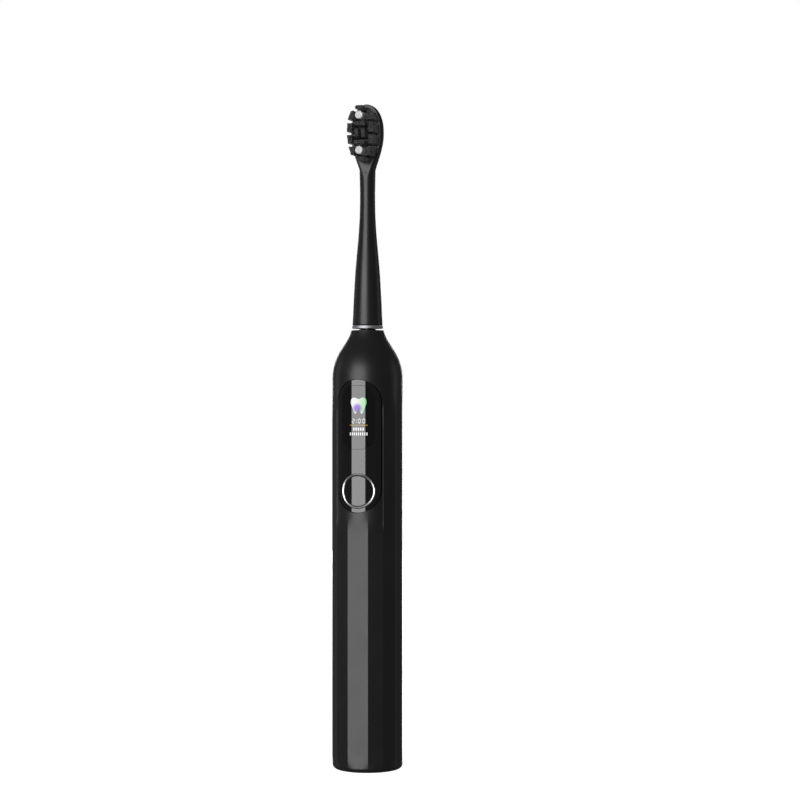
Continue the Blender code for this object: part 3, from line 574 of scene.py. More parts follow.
def lit_display(name, hex_code, glow, far_hex=None, core_hex=None):
    """Lit display dots under clear acrylic: glowing colour with the lens's own gloss over it."""
    material = new_material(name)
    place = add(material, "TexCoord")
    dots = add(material, "TexNoise", {"Vector": place.outputs["Object"], "Scale": 1 / (0.25 * MM)})
    ramp_in = add(material, "SeparateXYZ", {"Vector": place.outputs["Object"]})
    across = add(material, "MapRange", {"Value": ramp_in.outputs["X"], "From Min": -0.5 * MM,
                                        "From Max": 3 * MM})
    colour = add(material, "Mix", {"Factor": across.outputs["Result"], 6: linear(hex_code),
                                   7: linear(far_hex or hex_code)}, data_type="RGBA")
    offset = add(material, "VectorMath", {0: place.outputs["Object"],
                                          1: (0.0, -HANDLE_R, (SIGN_Z - 1.0) * MM)}, operation="DISTANCE")
    core = add(material, "MapRange", {"Value": offset.outputs["Value"], "From Min": 1.0 * MM,
                                      "From Max": 2.2 * MM, "To Min": 1.0, "To Max": 0.0})
    with_core = add(material, "Mix", {"Factor": core.outputs["Result"], 6: colour.outputs[2],
                                      7: linear(core_hex or hex_code)}, data_type="RGBA")
    grain = add(material, "MapRange", {"Value": dots.outputs["Fac"], "From Min": 0.3, "From Max": 0.7,
                                       "To Min": 0.93, "To Max": 1.05})
    shown = add(material, "VectorMath", {0: with_core.outputs[2], 3: grain.outputs["Result"]},
                operation="SCALE")
    return finish_material(material, {
        "Base Color": (0.01, 0.01, 0.01, 1), "Roughness": 0.05, "IOR": 1.49,
        "Emission Color": shown.outputs["Vector"], "Emission Strength": glow})


lit_white = lit_display("lit_display_white", "#f4f4f6", 0.95)
dress(tooth_sign, lit_display("lit_display_tooth", "#f2f4f2", 0.85, far_hex="#9be39a", core_hex="#8b62d8"))
dress(time_marks, lit_white)
dress(level_marks, lit_white)
dress(rule, lit_display("lit_display_gold", "#c79a3a", 0.8))
for mark in (tooth_sign, time_marks, rule, level_marks):
    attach(mark, "handle")

# ---------------------------------------------------------------------------------------
# Button: a black acrylic cap that lies flush in the panel, inside a thin polished steel
# ring pressed into the panel's hole. Both follow the handle's curve.
# ---------------------------------------------------------------------------------------

RING_INNER_R = RING_R - 0.75 * MM
RING_PROUD = 0.06 * MM
RING_DISH = 0.16 * MM        # how far its face slopes down toward the button
STEM_R = 1.4 * MM


def wrapped_disc(profile, steps=160):
    """Rings of a profile of (radius from the button's middle, radius from the handle's axis)."""
    rings = []
    for rho, depth_r in profile:
        ring = []
        for i in range(steps):
            a = 2 * pi * i / steps
            x = rho * cos(a)
            ring.append((x, -sqrt(depth_r ** 2 - x ** 2), BUTTON_Z + rho * sin(a)))
        rings.append(ring)
    return rings


ring_profile = [
    (RING_INNER_R, PANEL_INNER_R), (RING_R, PANEL_INNER_R), (RING_R, HANDLE_R - 0.08 * MM),
    (RING_R - 0.32 * MM, HANDLE_R + RING_PROUD),
    (RING_INNER_R + 0.03 * MM, HANDLE_R + RING_PROUD - RING_DISH), (RING_INNER_R, HANDLE_R - 0.13 * MM)]
button_ring = skin("button_bezel", wrapped_disc(ring_profile), closed=True)
shade(button_ring, 40)

face_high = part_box("button_cap")[1]
BUTTON_R = face_high.x
FACE_R = HANDLE_R - 0.05 * MM         # the button's face lies this far from the handle's axis
cap_profile = [(BUTTON_R, PANEL_INNER_R - 0.1 * MM), (BUTTON_R, FACE_R - 0.15 * MM),
               (BUTTON_R - 0.04 * MM, FACE_R - 0.05 * MM), (BUTTON_R - 0.14 * MM, FACE_R)]
cap_profile += [(BUTTON_R * k / 10, FACE_R) for k in range(9, 0, -1)] + [(0.02 * MM, FACE_R)]
button_cap = skin("button_face", wrapped_disc(cap_profile))
stem = prism("stem", round_outline(STEM_R, BUTTON_Z, 32), -(PANEL_INNER_R + 0.3 * MM), face_high.y)
carve(button_cap, stem, operation="UNION")
shade_tube(button_cap, FACE_R)


def polished_steel(name, hex_code, roughness):
    """Stainless steel buffed bright: near-mirror, with hairline polishing marks."""
    material = new_material(name)
    place = add(material, "TexCoord")
    stretch = add(material, "Mapping", {"Vector": place.outputs["Object"],
                                        "Scale": (1 / (0.2 * MM), 1 / (0.2 * MM), 1 / (3 * MM))})
    lines = add(material, "TexNoise", {"Vector": stretch.outputs["Vector"], "Scale": 1.0, "Detail": 3.0})
    rough = add(material, "MapRange", {"Value": lines.outputs["Fac"], "From Min": 0.3, "From Max": 0.7,
                                       "To Min": roughness, "To Max": roughness + 0.08})
    return finish_material(material, {
        "Base Color": linear(hex_code), "Metallic": 1.0, "Roughness": rough.outputs["Result"]})


dress(button_ring, polished_steel("polished_stainless_steel", "#dcdde0", 0.26))
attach(button_ring, "handle")
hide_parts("button_ring")
dress(button_cap, panel_acrylic)
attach(button_cap, "button")
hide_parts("button_cap")

# ---------------------------------------------------------------------------------------
# Seals and soft parts: a foam gasket bonded behind the panel, a moulded rubber membrane round
# the button's stem, an O-ring on the base cap, a pad behind the cell, and a lipped seal
# round the drive shaft, pressed into the hole in the shoulder.
# ---------------------------------------------------------------------------------------


def grained(name, hex_code, roughness, grain, depth=0.2, tint=0.12, metallic=0.0):
    """A surface with a fine all-over grain, in mm, and colour that drifts a little."""
    material = new_material(name)
    place = add(material, "TexCoord")
    fine = add(material, "TexNoise", {"Vector": place.outputs["Object"], "Scale": 1 / (grain * MM),
                                      "Detail": 3.0})
    broad = add(material, "TexNoise", {"Vector": place.outputs["Object"], "Scale": 1 / (12 * grain * MM),
                                       "Detail": 2.0})
    shift = add(material, "MapRange", {"Value": broad.outputs["Fac"], "From Min": 0.3, "From Max": 0.7,
                                       "To Min": 1 - tint, "To Max": 1 + tint})
    colour = add(material, "VectorMath", {0: linear(hex_code)[:3], 3: shift.outputs["Result"]},
                 operation="SCALE")
    rough = add(material, "MapRange", {"Value": fine.outputs["Fac"], "From Min": 0.3, "From Max": 0.7,
                                       "To Min": max(roughness - 0.05, 0.02), "To Max": roughness + 0.05})
    bump = add(material, "Bump", {"Height": fine.outputs["Fac"], "Strength": depth,
                                  "Distance": grain * 0.2 * MM})
    return finish_material(material, {
        "Base Color": colour.outputs["Vector"], "Roughness": rough.outputs["Result"],
        "Metallic": metallic, "IOR": 1.5, "Normal": bump.outputs["Normal"]})


# Closed-cell foam: dull, with open pores. Moulded rubber: dull and nearly smooth.
cell_foam = grained("closed_cell_foam", "#333335", 0.95, 0.35, depth=0.8)
moulded_rubber = grained("moulded_rubber_black", "#191919", 0.62, 0.2, depth=0.15)
for node, finish in (("panel_gasket", cell_foam), ("battery_pad", cell_foam),
                     ("button_membrane", moulded_rubber)):
    dress(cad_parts[node], finish)

SEAL_FOOT_Z = 158.6 * MM
SEAL_LIP_R = 3.55 * MM
SEAL_FOOT_R = 4.4 * MM
SEAL_BORE_R = 2.2 * MM
seal = turned("lip_seal", [
    (SEAL_BORE_R, SHELL_TOP + 0.4 * MM), (2.35 * MM, SHELL_TOP + 0.45 * MM),
    (2.8 * MM, SHELL_TOP + 0.45 * MM), (3.05 * MM, SHELL_TOP + 0.38 * MM), (3.35 * MM, SHELL_TOP + 0.2 * MM),
    (SEAL_LIP_R, SHELL_TOP - 0.15 * MM), (SEAL_LIP_R, 163.6 * MM), (3.3 * MM, 163.4 * MM),
    (3.3 * MM, 162.8 * MM), (SEAL_LIP_R, 162.6 * MM), (SEAL_LIP_R, 161.4 * MM), (SEAL_FOOT_R, 159.6 * MM),
    (SEAL_FOOT_R, SEAL_FOOT_Z), (SEAL_BORE_R, SEAL_FOOT_Z)], steps=72)
shade(seal, 40)
dress(seal, moulded_rubber)
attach(seal, "handle")
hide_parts("shaft_seal")

# ---------------------------------------------------------------------------------------
# Chassis, circuit board, display module and switch. A half tube of glass-filled nylon with
# ribs slides up inside the shell and carries everything; the board is clipped to its front.
# ---------------------------------------------------------------------------------------

# Glass-filled nylon: off-white and matt, mottled by its fibres. The switch housing is a plain
# grey moulding, and the display's glass is near-black and glossy.
glass_filled_nylon = grained("glass_filled_nylon", "#cfcfcb", 0.5, 0.4, depth=0.25, tint=0.05)
switch_housing = grained("switch_housing_grey", "#6d6e70", 0.45, 0.3, depth=0.1)
display_glass = grained("display_module_glass", "#15161c", 0.12, 1.5, depth=0.02, tint=0.3)
for node, finish in (("chassis", glass_filled_nylon), ("tact_switch", switch_housing),
                     ("switch_plunger", switch_housing), ("bearing_holder", switch_housing),
                     ("motor_end_cap", switch_housing), ("display_module", display_glass)):
    dress(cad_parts[node], finish)


def solder_mask(name, hex_code, track_hex):
    """Green solder mask over copper tracks, which show as paler raised lines."""
    material = new_material(name)
    place = add(material, "TexCoord")
    upright = add(material, "Mapping", {"Vector": place.outputs["Object"],
                                        "Rotation": (radians(-90), 0.0, 0.0)})
    cells = add(material, "TexBrick", {"Vector": upright.outputs["Vector"], "Scale": 1 / (8 * MM),
                                       "Mortar Size": 0.03, "Color1": (0, 0, 0, 1),
                                       "Color2": (0, 0, 0, 1), "Mortar": (1, 1, 1, 1)})
    colour = add(material, "Mix", {"Factor": cells.outputs["Color"], 6: linear(hex_code),
                                   7: linear(track_hex)}, data_type="RGBA")
    bump = add(material, "Bump", {"Height": cells.outputs["Color"], "Strength": 0.3, "Distance": 0.03 * MM})
    return finish_material(material, {"Base Color": colour.outputs[2], "Roughness": 0.3, "IOR": 1.5,
                                      "Normal": bump.outputs["Normal"]})


dress(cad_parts["main_board"], solder_mask("solder_mask_green", "#0c4a2a", "#2e7a4d"))

# ---------------------------------------------------------------------------------------
# Cell: a 14 x 50 mm rechargeable cell in a heat-shrunk sleeve. Nickel strips spot-welded to
# its ends run to the board.
# ---------------------------------------------------------------------------------------


def banded(name, hex_code, roughness, pitch, depth, tint=0.15, wander=1.0):
    """Metal with even bands up its height, pitch in mm: windings, laminations and turning marks."""
    material = new_material(name)
    place = add(material, "TexCoord")
    bands = add(material, "TexWave", {"Vector": place.outputs["Object"], "Scale": 0.314 / (pitch * MM),
                                      "Distortion": wander, "Detail": 1.0, "Detail Scale": 1.0},
                wave_type="BANDS", bands_direction="Z")
    shift = add(material, "MapRange", {"Value": bands.outputs["Fac"], "To Min": 1 - tint,
                                       "To Max": 1 + tint})
    colour = add(material, "VectorMath", {0: linear(hex_code)[:3], 3: shift.outputs["Result"]},
                 operation="SCALE")
    bump = add(material, "Bump", {"Height": bands.outputs["Fac"], "Strength": depth,
                                  "Distance": pitch * 0.4 * MM})
    return finish_material(material, {"Base Color": colour.outputs["Vector"], "Roughness": roughness,
                                      "Metallic": 1.0, "Normal": bump.outputs["Normal"]})


# The sleeve is a glossy blue film. Rolled nickel: warm pale metal with fine rolling lines.
dress(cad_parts["battery_cell"], grained("heat_shrink_sleeve_blue", "#22559a", 0.3, 1.2, depth=0.1))
rolled_nickel = banded("rolled_nickel_strip", "#c8c4b8", 0.3, 0.25, 0.05, wander=3.0)
for node in ("battery_tab_bottom", "battery_tab_top"):
    dress(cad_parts[node], rolled_nickel)

# ---------------------------------------------------------------------------------------
# Motor: a drawn steel can with a laminated stator and a copper coil. The rotor is two curved
# magnets on a steel hub, pressed on the drive shaft; a coil spring centres it.
# ---------------------------------------------------------------------------------------

# Drawn steel: bright, with faint drawing lines. Laminations: a stack of darker edges. Spring
# wire: dull grey. Plated magnets: smooth and bright. Sintered bronze: golden, finely pored.
drawn_steel = banded("drawn_steel_can", "#b9babc", 0.3, 0.6, 0.03, tint=0.05)
laminations = banded("steel_laminations", "#7d7e80", 0.45, 0.5, 0.5, wander=0.0)
spring_wire = grained("spring_steel_wire", "#8c8d90", 0.35, 0.3, depth=0.1, metallic=1.0)
# Enamelled copper: glossy orange turns lying side by side.
enamelled_copper = banded("enamelled_copper_windings", "#c9682c", 0.3, 0.25, 0.7, wander=0.3)
plated_magnet = grained("nickel_plated_magnet", "#bdbdbf", 0.28, 0.6, depth=0.05, metallic=1.0)
sintered_bronze = grained("sintered_bronze", "#b98a4e", 0.42, 0.15, depth=0.4, metallic=1.0)
for node, finish in (("motor_can", drawn_steel), ("stator_core", laminations), ("rotor_hub", drawn_steel),
                     ("stator_coil", enamelled_copper), ("return_spring", spring_wire),
                     ("rotor_magnet_left", plated_magnet), ("rotor_magnet_right", plated_magnet),
                     ("top_bearing", sintered_bronze), ("retaining_clip", spring_wire)):
    dress(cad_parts[node], finish)

SHAFT_R = 2.0 * MM
SHAFT_PIVOT_R = 1.0 * MM
SHAFT_STEP_Z = 87.6 * MM
SHAFT_FLAT_Z = 170 * MM
SHAFT_FLAT_Y = -1.5 * MM
shaft_low, shaft_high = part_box("drive_shaft")
shaft = turned("shaft_rod", [
    (0.02 * MM, shaft_high.z), (SHAFT_R - 0.6 * MM, shaft_high.z),
    (SHAFT_R - 0.45 * MM, shaft_high.z - 0.06 * MM), (SHAFT_R - 0.04 * MM, shaft_high.z - 0.6 * MM),
    (SHAFT_R, shaft_high.z - 0.75 * MM), (SHAFT_R, SHAFT_STEP_Z + 0.1 * MM),
    (SHAFT_R - 0.1 * MM, SHAFT_STEP_Z), (SHAFT_PIVOT_R, SHAFT_STEP_Z),
    (SHAFT_PIVOT_R, shaft_low.z + 0.15 * MM), (SHAFT_PIVOT_R - 0.15 * MM, shaft_low.z),
    (0.02 * MM, shaft_low.z)], steps=72, closed=False)
past = SHAFT_R + MM           # the cutter's half width, and how far it reaches beyond the shaft
flat_outline = [(-past, SHAFT_FLAT_Z), (past, SHAFT_FLAT_Z), (past, shaft_high.z + past),
                (-past, shaft_high.z + past)]
carve(shaft, prism("shaft_flat", flat_outline, -past, SHAFT_FLAT_Y))
shade(shaft, 35)
# Ground stainless: grey metal whose fine even turning marks blur what it reflects.
dress(shaft, banded("ground_stainless_shaft", "#75767a", 0.3, 0.12, 0.04, tint=0.04))
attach(shaft, "drive")
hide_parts("drive_shaft")

# ---------------------------------------------------------------------------------------
# Base cap: an ABS plug bonded into the foot of the shell, with a blind socket in the middle
# for a charger's post. The charging coil and its ferrite sleeve sit round the socket.
# ---------------------------------------------------------------------------------------

cap_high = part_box("base_cap")[1]
CAP_R = cap_high.x
CAP_WALL = 1.2 * MM
CAP_FLOOR = 1.6 * MM
CAP_GROOVE_R = CAP_R - 0.7 * MM
CAP_GROOVE_Z = (5.0 * MM, 6.6 * MM)
SOCKET_R = 4.2 * MM
SOCKET_TOP = 8.0 * MM
SOCKET_ROOF = 1.4 * MM
FOOT_RIM_R = 8.6 * MM
FOOT_HOLLOW = 0.25 * MM       # depth of the shallow hollow between the foot's rim and the socket
CAP_EDGE = 0.4 * MM


def rounded_corner(r, z, start, radius, count=5):
    """Points of a quarter round about (r, z), turning clockwise from start degrees."""
    turns = [radians(start - 90 * i / count) for i in range(count + 1)]
    return [(r + radius * cos(a), z + radius * sin(a)) for a in turns]


plug_profile = [
    (0.02 * MM, SOCKET_TOP + SOCKET_ROOF), (SOCKET_R + CAP_WALL, SOCKET_TOP + SOCKET_ROOF),
    (SOCKET_R + CAP_WALL, CAP_FLOOR), (CAP_R - CAP_WALL, CAP_FLOOR), (CAP_R - CAP_WALL, cap_high.z),
    (CAP_R, cap_high.z), (CAP_R, CAP_GROOVE_Z[1]), (CAP_GROOVE_R, CAP_GROOVE_Z[1]),
    (CAP_GROOVE_R, CAP_GROOVE_Z[0]), (CAP_R, CAP_GROOVE_Z[0])]
plug_profile += rounded_corner(CAP_R - CAP_EDGE, CAP_EDGE, 0, CAP_EDGE)
plug_profile += [(FOOT_RIM_R, 0.0), (FOOT_RIM_R - FOOT_HOLLOW, FOOT_HOLLOW),
                 (SOCKET_R + 1.0 * MM + FOOT_HOLLOW, FOOT_HOLLOW), (SOCKET_R + 1.0 * MM, 0.0)]
plug_profile += rounded_corner(SOCKET_R + CAP_EDGE, CAP_EDGE, -90, CAP_EDGE)
plug_profile += [(SOCKET_R, SOCKET_TOP - 0.3 * MM), (SOCKET_R - 0.3 * MM, SOCKET_TOP),
                 (0.02 * MM, SOCKET_TOP)]
base_cap = turned("base_plug", plug_profile, steps=128)
shade(base_cap, 35)
dress(base_cap, moulded_abs_satin("moulded_abs_base_black", "#1b1b1c", 0.42))
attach(base_cap, "handle")
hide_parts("base_cap")

seal_low, seal_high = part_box("base_seal")
O_RING_WIRE = (seal_high.z - seal_low.z) / 2 / cos(radians(30))
o_ring_r = seal_high.x - O_RING_WIRE
o_ring_z = (seal_high.z + seal_low.z) / 2
o_ring_turns = [2 * pi * i / 20 for i in range(20)]
o_ring = turned("o_ring", [(o_ring_r - O_RING_WIRE * cos(a), o_ring_z + O_RING_WIRE * sin(a))
                           for a in o_ring_turns])
shade(o_ring)
dress(o_ring, moulded_rubber)
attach(o_ring, "handle")
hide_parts("base_seal")
dress(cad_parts["charging_coil"], enamelled_copper)
# Ferrite: a dark, dull, slightly speckled ceramic.
dress(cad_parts["ferrite_sleeve"], grained("sintered_ferrite", "#3d3d40", 0.6, 0.15, depth=0.3))

# ---------------------------------------------------------------------------------------
# Brush head: neck and bristle plate in one moulding of black polypropylene. The neck
# tapers to a waist, then opens into an egg-shaped plate with a flat front.
# ---------------------------------------------------------------------------------------

head_low, head_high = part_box("brush_head")
id_low, id_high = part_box("id_ring")
HEAD_TOP = head_high.z + 0.02 * MM
NECK_BASE_Z = id_low.z
NECK_BASE_R = id_high.x
NECK_WAIST_R = 2.87 * MM
NECK_WAIST_Z = 216 * MM
PLATE_HALF_W = 6.35 * MM
PLATE_WIDEST_Z = 239 * MM
PLATE_HEEL_Z = 225 * MM
PLATE_FRONT = 1.8 * MM
PLATE_BACK = 2.3 * MM
PLATE_CROWN = 4.0 * MM
PLATE_EASE = 0.25 * MM        # softens the edge between the plate's flat front and its sides
PLATE_BLEND_Z = (221 * MM, 231 * MM)
FRONT_FLAT_Z = (223.5 * MM, 231.5 * MM)
HEEL_SWELL = 0.68             # below 1 widens the heel early
CROWN_SHARE = 2.3             # above 2 squares the plate's top
HEAD_BORE_R = 3.3 * MM
NECK_EDGE = 0.1 * MM
HEEL_RINGS_Z = 218 * MM       # rings lie closer together above here
CROWN_RINGS_Z = 240 * MM      # and bunch toward the top above here


def head_half_width(z):
    """Half width of the neck and plate, seen from the front."""
    if z >= PLATE_WIDEST_Z:
        t = (z - PLATE_WIDEST_Z) / (HEAD_TOP - PLATE_WIDEST_Z)
        return PLATE_HALF_W * sqrt(max(1 - t ** CROWN_SHARE, 0.0))
    if z <= NECK_WAIST_Z:
        t = (z - NECK_BASE_Z) / (NECK_WAIST_Z - NECK_BASE_Z)
        return NECK_BASE_R - (NECK_BASE_R - NECK_WAIST_R) * (t - 0.16 * sin(2 * pi * t) * t)
    neck = NECK_WAIST_R + 0.15 * MM * smooth(z, NECK_WAIST_Z, PLATE_HEEL_Z)
    if z <= PLATE_HEEL_Z:
        return neck
    t = ((z - PLATE_HEEL_Z) / (PLATE_WIDEST_Z - PLATE_HEEL_Z)) ** HEEL_SWELL
    return neck + (PLATE_HALF_W - neck) * smooth(t, 0, 1)


def head_section(z, count=72):
    """Ring round the head: round on the neck, and on the plate flat in front and crowned behind."""
    half = head_half_width(z)
    blend = smooth(z, *PLATE_BLEND_Z)
    edge = 0.5 + 0.5 * (half / PLATE_HALF_W) if z > PLATE_WIDEST_Z else 1.0
    back = half + (PLATE_BACK * edge - half) * blend
    front = half + (PLATE_CROWN - half) * blend
    depth = min(max((z - FRONT_FLAT_Z[0]) / (FRONT_FLAT_Z[1] - FRONT_FLAT_Z[0]), 0), 1)
    flat = half + (PLATE_FRONT * edge ** 0.3 - half) * depth
    ring = []
    for i in range(count):
        a = 2 * pi * i / count
        y = -cos(a) * (front if cos(a) > 0 else back)
        gap = y + flat
        ring.append((half * sin(a), -flat + (gap + sqrt(gap ** 2 + PLATE_EASE ** 2 * blend)) / 2, z))
    return ring


def bore_ring(radius, z, count=72):
    return [(radius * sin(2 * pi * i / count), -radius * cos(2 * pi * i / count), z) for i in range(count)]


bore_top = shaft_high.z + 0.8 * MM
neck_bottom = head_low.z
head_rings = [bore_ring(0.02 * MM, bore_top), bore_ring(HEAD_BORE_R, bore_top),
              bore_ring(HEAD_BORE_R, neck_bottom),
              bore_ring(head_half_width(neck_bottom) - NECK_EDGE, neck_bottom)]
head_heights = [neck_bottom + NECK_EDGE] + steps_between(neck_bottom + 0.8 * MM, HEEL_RINGS_Z, 44)
head_heights += steps_between(HEEL_RINGS_Z, CROWN_RINGS_Z, 44)
head_heights += [CROWN_RINGS_Z + (HEAD_TOP - CROWN_RINGS_Z) * sin(pi / 2 * i / 30) for i in range(30)]
head_rings += [head_section(z) for z in head_heights]
head = skin("head_moulding", head_rings)
shade(head, 50)
dress(head, moulded_abs_satin("moulded_polypropylene_black", "#1d1d1e", 0.34))
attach(head, "brush_head")
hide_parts("brush_head")

# ---------------------------------------------------------------------------------------
# Shaft sleeve: a natural acetal tube pressed into the neck, which grips the drive shaft. A
# steel clip inside it bears on the shaft's flat.
# ---------------------------------------------------------------------------------------

sleeve_low, sleeve_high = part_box("shaft_sleeve")
SLEEVE_BORE_R = 2.12 * MM
SLEEVE_R = 3.0 * MM
SLEEVE_FLANGE_TOP = 166.7 * MM
sleeve = turned("sleeve_tube", [
    (SLEEVE_BORE_R, sleeve_high.z), (SLEEVE_R - 0.2 * MM, sleeve_high.z),
    (SLEEVE_R, sleeve_high.z - 0.2 * MM), (SLEEVE_R, SLEEVE_FLANGE_TOP),
    (sleeve_high.x, SLEEVE_FLANGE_TOP), (sleeve_high.x, sleeve_low.z + 0.15 * MM),
    (sleeve_high.x - 0.15 * MM, sleeve_low.z), (SLEEVE_BORE_R + 0.3 * MM, sleeve_low.z),
    (SLEEVE_BORE_R, sleeve_low.z + 0.3 * MM)], steps=72)
shade(sleeve, 35)
# Acetal: milky white and slightly waxy.
dress(sleeve, grained("natural_acetal", "#c9c8c4", 0.42, 0.4, depth=0.08, tint=0.04))
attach(sleeve, "brush_head")
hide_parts("shaft_sleeve")

# ---------------------------------------------------------------------------------------
# Colour ring: a thin brushed steel band clipped round the bottom of the head, which tells
# one family member's head from another's.
# ---------------------------------------------------------------------------------------

BAND_INNER_R = 4.4 * MM
BAND_ROUND = 0.15 * MM
band_profile = [(BAND_INNER_R, id_high.z)]
for corner_z, start in ((id_high.z - BAND_ROUND, 90), (id_low.z + BAND_ROUND, 0)):
    band_profile += rounded_corner(NECK_BASE_R - BAND_ROUND, corner_z, start, BAND_ROUND, count=4)
band_profile.append((BAND_INNER_R, id_low.z))
band = turned("head_band", band_profile, steps=128)
shade(band, 60)
# Brushed stainless: broad soft highlights, broken by fine lines round the band.
dress(band, banded("brushed_stainless_steel", "#bcbdc0", 0.55, 0.2, 0.04, tint=0.05))
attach(band, "brush_head")
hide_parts("id_ring")

# ---------------------------------------------------------------------------------------
# Tufts: bundles of nylon filaments, end-rounded, standing in holes in the plate. Each is
# drawn as a packed core with separate filaments round and over it; the real filaments are
# 0.15 mm thick and are drawn thicker, so that they show.
# ---------------------------------------------------------------------------------------

FILAMENT_R = 0.105 * MM
FILAMENT_STEP = 0.235 * MM
ROW_STEP = FILAMENT_STEP * 0.866      # rows of a close packing
FILAMENT_INSET = 0.15 * MM            # keeps the outer filaments inside the tuft's solid
PACKING_PLAY = 0.03 * MM
TIP_PLAY = 0.05 * MM
CORE_INSET = 0.32 * MM
CORE_DEPTH = 0.3 * MM                 # the core ends this far below the tips
TUFT_ROOT_Y = -1.4 * MM
chance = random.Random(7)


def tuft_outline(node):
    """The tuft's tip outline as (x, z) points in order, its middle, and its tip's y, from its CAD solid."""
    verts = [v.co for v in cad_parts[node].data.vertices]
    tip = min(v.y for v in verts)
    points = {(round(v.x, 6), round(v.z, 6)) for v in verts if v.y < tip + 0.01 * MM}
    middle = Vector([sum(p[k] for p in points) / len(points) for k in (0, 1)])
    ordered = sorted(points, key=lambda p: atan2(p[1] - middle.y, p[0] - middle.x))
    return ordered, middle, tip


def inside(x, z, outline):
    hit = False
    for i, (x1, z1) in enumerate(outline):
        x2, z2 = outline[i - 1]
        if (z1 > z) != (z2 > z) and x < (x2 - x1) * (z - z1) / (z2 - z1) + x1:
            hit = not hit
    return hit


def shrunk(outline, middle, amount):
    result = []
    for x, z in outline:
        away = Vector((x, z)) - middle
        kept = middle + away * max(1 - amount / away.length, 0.1)
        result.append((kept.x, kept.y))
    return result


def add_filament(bm, x, z, tip, lean, sides=6):
    """One filament from its root to a rounded tip, leaning a little."""
    profile = [(TUFT_ROOT_Y, 1.0), (tip * 0.6, 1.0), (tip + 0.14 * MM, 1.0), (tip + 0.04 * MM, 0.75),
               (tip, 0.35)]
    turn = chance.uniform(0, pi)
    rings = []
    for y, share in profile:
        t = (y - TUFT_ROOT_Y) / (tip - TUFT_ROOT_Y)
        cx, cz = x + lean.x * t * t, z + lean.y * t * t
        rings.append([bm.verts.new((cx + FILAMENT_R * share * cos(turn + 2 * pi * i / sides), y,
                                    cz + FILAMENT_R * share * sin(turn + 2 * pi * i / sides)))
                      for i in range(sides)])
    for low, high in zip(rings, rings[1:]):
        for i in range(sides):
            j = (i + 1) % sides
            bm.faces.new((low[i], low[j], high[j], high[i]))
    bm.faces.new(list(reversed(rings[0])))
    bm.faces.new(rings[-1])


def nylon_filament(name, hex_code, tip_hex, tip_y, mottle):
    """Waxy nylon: the sides carry painted sheen, paler as if light raked along them; the tips keep the
    nylon's own tone; painted shade darkens the roots.
    """
    material = new_material(name)
    place = add(material, "TexCoord")
    apart = add(material, "SeparateXYZ", {"Vector": place.outputs["Object"]})
    # Painted sheen: the sides take the paler colour, which fades into the tip colour over the last 0.7 mm.
    painted_sheen_to_tip = add(material, "MapRange", {"Value": apart.outputs["Y"], "From Min": tip_y + 0.7 * MM,
                                            "From Max": tip_y + 0.15 * MM})
    strands = add(material, "TexNoise", {"Vector": place.outputs["Object"], "Scale": 1 / (0.7 * MM),
                                         "Detail": 1.0})
    vary = add(material, "MapRange", {"Value": strands.outputs["Fac"], "From Min": 0.3, "From Max": 0.7,
                                      "To Min": 1 - mottle, "To Max": 1 + mottle})
    colour = add(material, "Mix", {"Factor": painted_sheen_to_tip.outputs["Result"], 6: linear(hex_code),
                                   7: linear(tip_hex)}, data_type="RGBA")
    # Painted shade: the filaments darken toward their roots, where the neighbouring tufts would shade them.
    painted_root_shade = add(material, "MapRange", {"Value": apart.outputs["Y"], "From Min": TUFT_ROOT_Y - 2.4 * MM,
                                         "From Max": TUFT_ROOT_Y - 0.6 * MM, "To Min": 1.0, "To Max": 0.25})
    mottle_and_root_shade = add(material, "Math", {0: vary.outputs["Result"], 1: painted_root_shade.outputs["Result"]},
                   operation="MULTIPLY")
    varied = add(material, "VectorMath", {0: colour.outputs[2], 3: mottle_and_root_shade.outputs["Value"]},
                 operation="SCALE")
    return finish_material(material, {
        "Base Color": varied.outputs["Vector"], "Roughness": 0.45, "IOR": 1.53})


for node in sorted(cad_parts):
    if not node.startswith("tuft_"):
        continue
    outline, middle, tip = tuft_outline(node)
    white = "white" in node
    bm = bmesh.new()
    push_outline(bm, shrunk(outline, middle, CORE_INSET), TUFT_ROOT_Y, tip + CORE_DEPTH)
    reach = shrunk(outline, middle, FILAMENT_R + FILAMENT_INSET)
    lows = [min(p[k] for p in outline) for k in (0, 1)]
    highs = [max(p[k] for p in outline) for k in (0, 1)]
    rows = int((highs[1] - lows[1]) / ROW_STEP) + 2
    columns = int((highs[0] - lows[0]) / FILAMENT_STEP) + 2
    for row in range(rows):
        for column in range(columns):
            x = lows[0] + (column + 0.5 * (row % 2)) * FILAMENT_STEP + chance.uniform(-1, 1) * PACKING_PLAY
            z = lows[1] + row * ROW_STEP + chance.uniform(-1, 1) * PACKING_PLAY
            if not inside(x, z, reach):
                continue
            away = Vector((x, z)) - middle
            lean = away * 0.02 + Vector((chance.uniform(-1, 1), chance.uniform(-1, 1))) * TIP_PLAY
            shorter = min(abs(chance.gauss(0, 0.04 if white else 0.1)), 0.3) * MM
            add_filament(bm, x, z, tip + shorter, lean)
    tuft = mesh_object(node + "_filaments", bm)
    shade(tuft, 60)
    if white:
        dress(tuft, nylon_filament("nylon_white_" + node, "#f6f6f4", "#ffffff", tip, 0.08))
    else:
        # Black tufts: the pale grey down their sides is painted sheen, and the near-black at the tips is the
        # nylon's own colour.
        dress(tuft, nylon_filament("nylon_black_" + node, "#7a7a7c", "#161618", tip, 0.75))
    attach(tuft, "brush_head")
    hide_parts(node)

# ---------------------------------------------------------------------------------------
# Floor, background and lights: a plain white studio. One large soft light stands in front,
# a little to the left, another behind, and a dim narrow one at each side.
# ---------------------------------------------------------------------------------------

bpy.context.scene.view_settings.view_transform = "Standard"
floor = turned("studio_floor", [(3.0, 0.0), (3.0, -0.002)], steps=128, closed=False)
floor.visible_glossy = False
floor.visible_diffuse = False
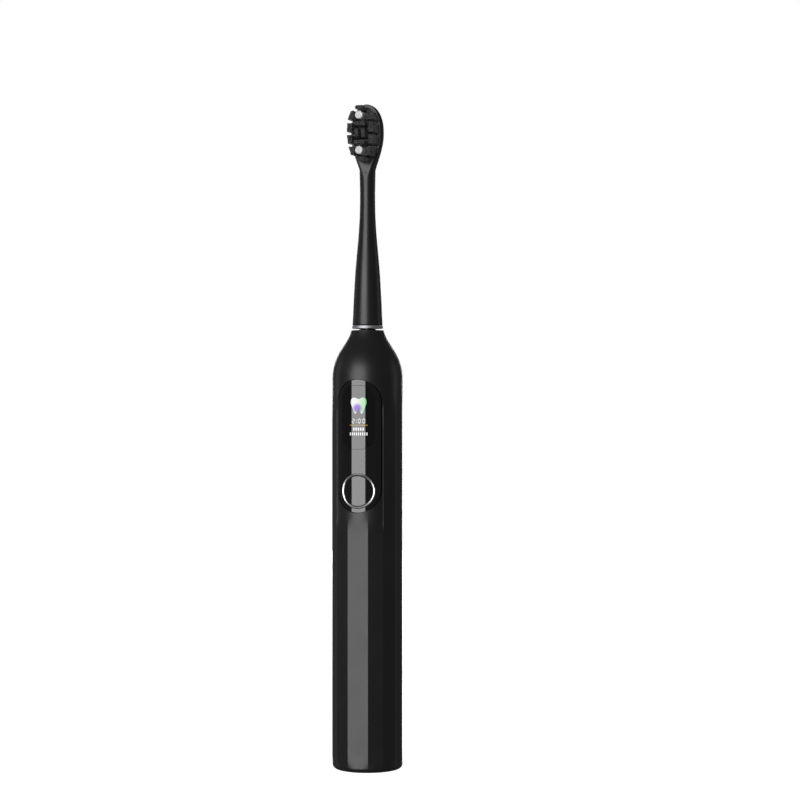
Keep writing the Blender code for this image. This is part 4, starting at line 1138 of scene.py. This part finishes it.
# Matt paint: even white, with a mottle too faint to draw the eye.
floor_paint = new_material("matt_white_paint")
floor_place = add(floor_paint, "TexCoord")
mottle = add(floor_paint, "TexNoise", {"Vector": floor_place.outputs["Object"], "Scale": 4.0})
tone = add(floor_paint, "MapRange", {"Value": mottle.outputs["Fac"], "To Min": 0.88, "To Max": 0.9})
finish_material(floor_paint, {"Base Color": tone.outputs["Result"], "Roughness": 0.9,
                              "Emission Color": (1, 1, 1, 1), "Emission Strength": 1.0})
dress(floor, floor_paint)

world = bpy.data.worlds.new("white_studio")
world.use_nodes = True
tree = world.node_tree
tree.nodes.clear()
seen = tree.nodes.new("ShaderNodeBackground")
seen.inputs["Color"].default_value = (1, 1, 1, 1)
around = tree.nodes.new("ShaderNodeBackground")
around.inputs["Color"].default_value = (1, 1, 1, 1)
around.inputs["Strength"].default_value = 0.1
ray = tree.nodes.new("ShaderNodeLightPath")
mix = tree.nodes.new("ShaderNodeMixShader")
end = tree.nodes.new("ShaderNodeOutputWorld")
tree.links.new(ray.outputs["Is Camera Ray"], mix.inputs["Fac"])
tree.links.new(around.outputs["Background"], mix.inputs[1])
tree.links.new(seen.outputs["Background"], mix.inputs[2])
tree.links.new(mix.outputs["Shader"], end.inputs["Surface"])
bpy.context.scene.world = world


LIGHT_DISTANCE = 1.2


def soft_light(name, turn, height, width, tall, radiance):
    """Rectangular light, turned from the brush's front and facing its axis, of a given radiance."""
    data = bpy.data.lights.new(name, "AREA")
    data.shape = "RECTANGLE"
    data.size = width
    data.size_y = tall
    data.energy = radiance * pi * width * tall
    light = bpy.data.objects.new(name, data)
    light.location = (LIGHT_DISTANCE * sin(turn), -LIGHT_DISTANCE * cos(turn), height)
    light.rotation_euler = (pi / 2, 0, turn)
    bpy.context.scene.collection.objects.link(light)


soft_light("key_strip", radians(-13.7), 0.15, 1.0, 1.3, 4.35)
soft_light("left_fill", radians(-100), 0.2, 0.3, 0.9, 0.5)
soft_light("right_fill", radians(119), 0.2, 0.3, 0.9, 0.6)
soft_light("back_strip", radians(195), 0.2, 0.9, 0.9, 4.0)
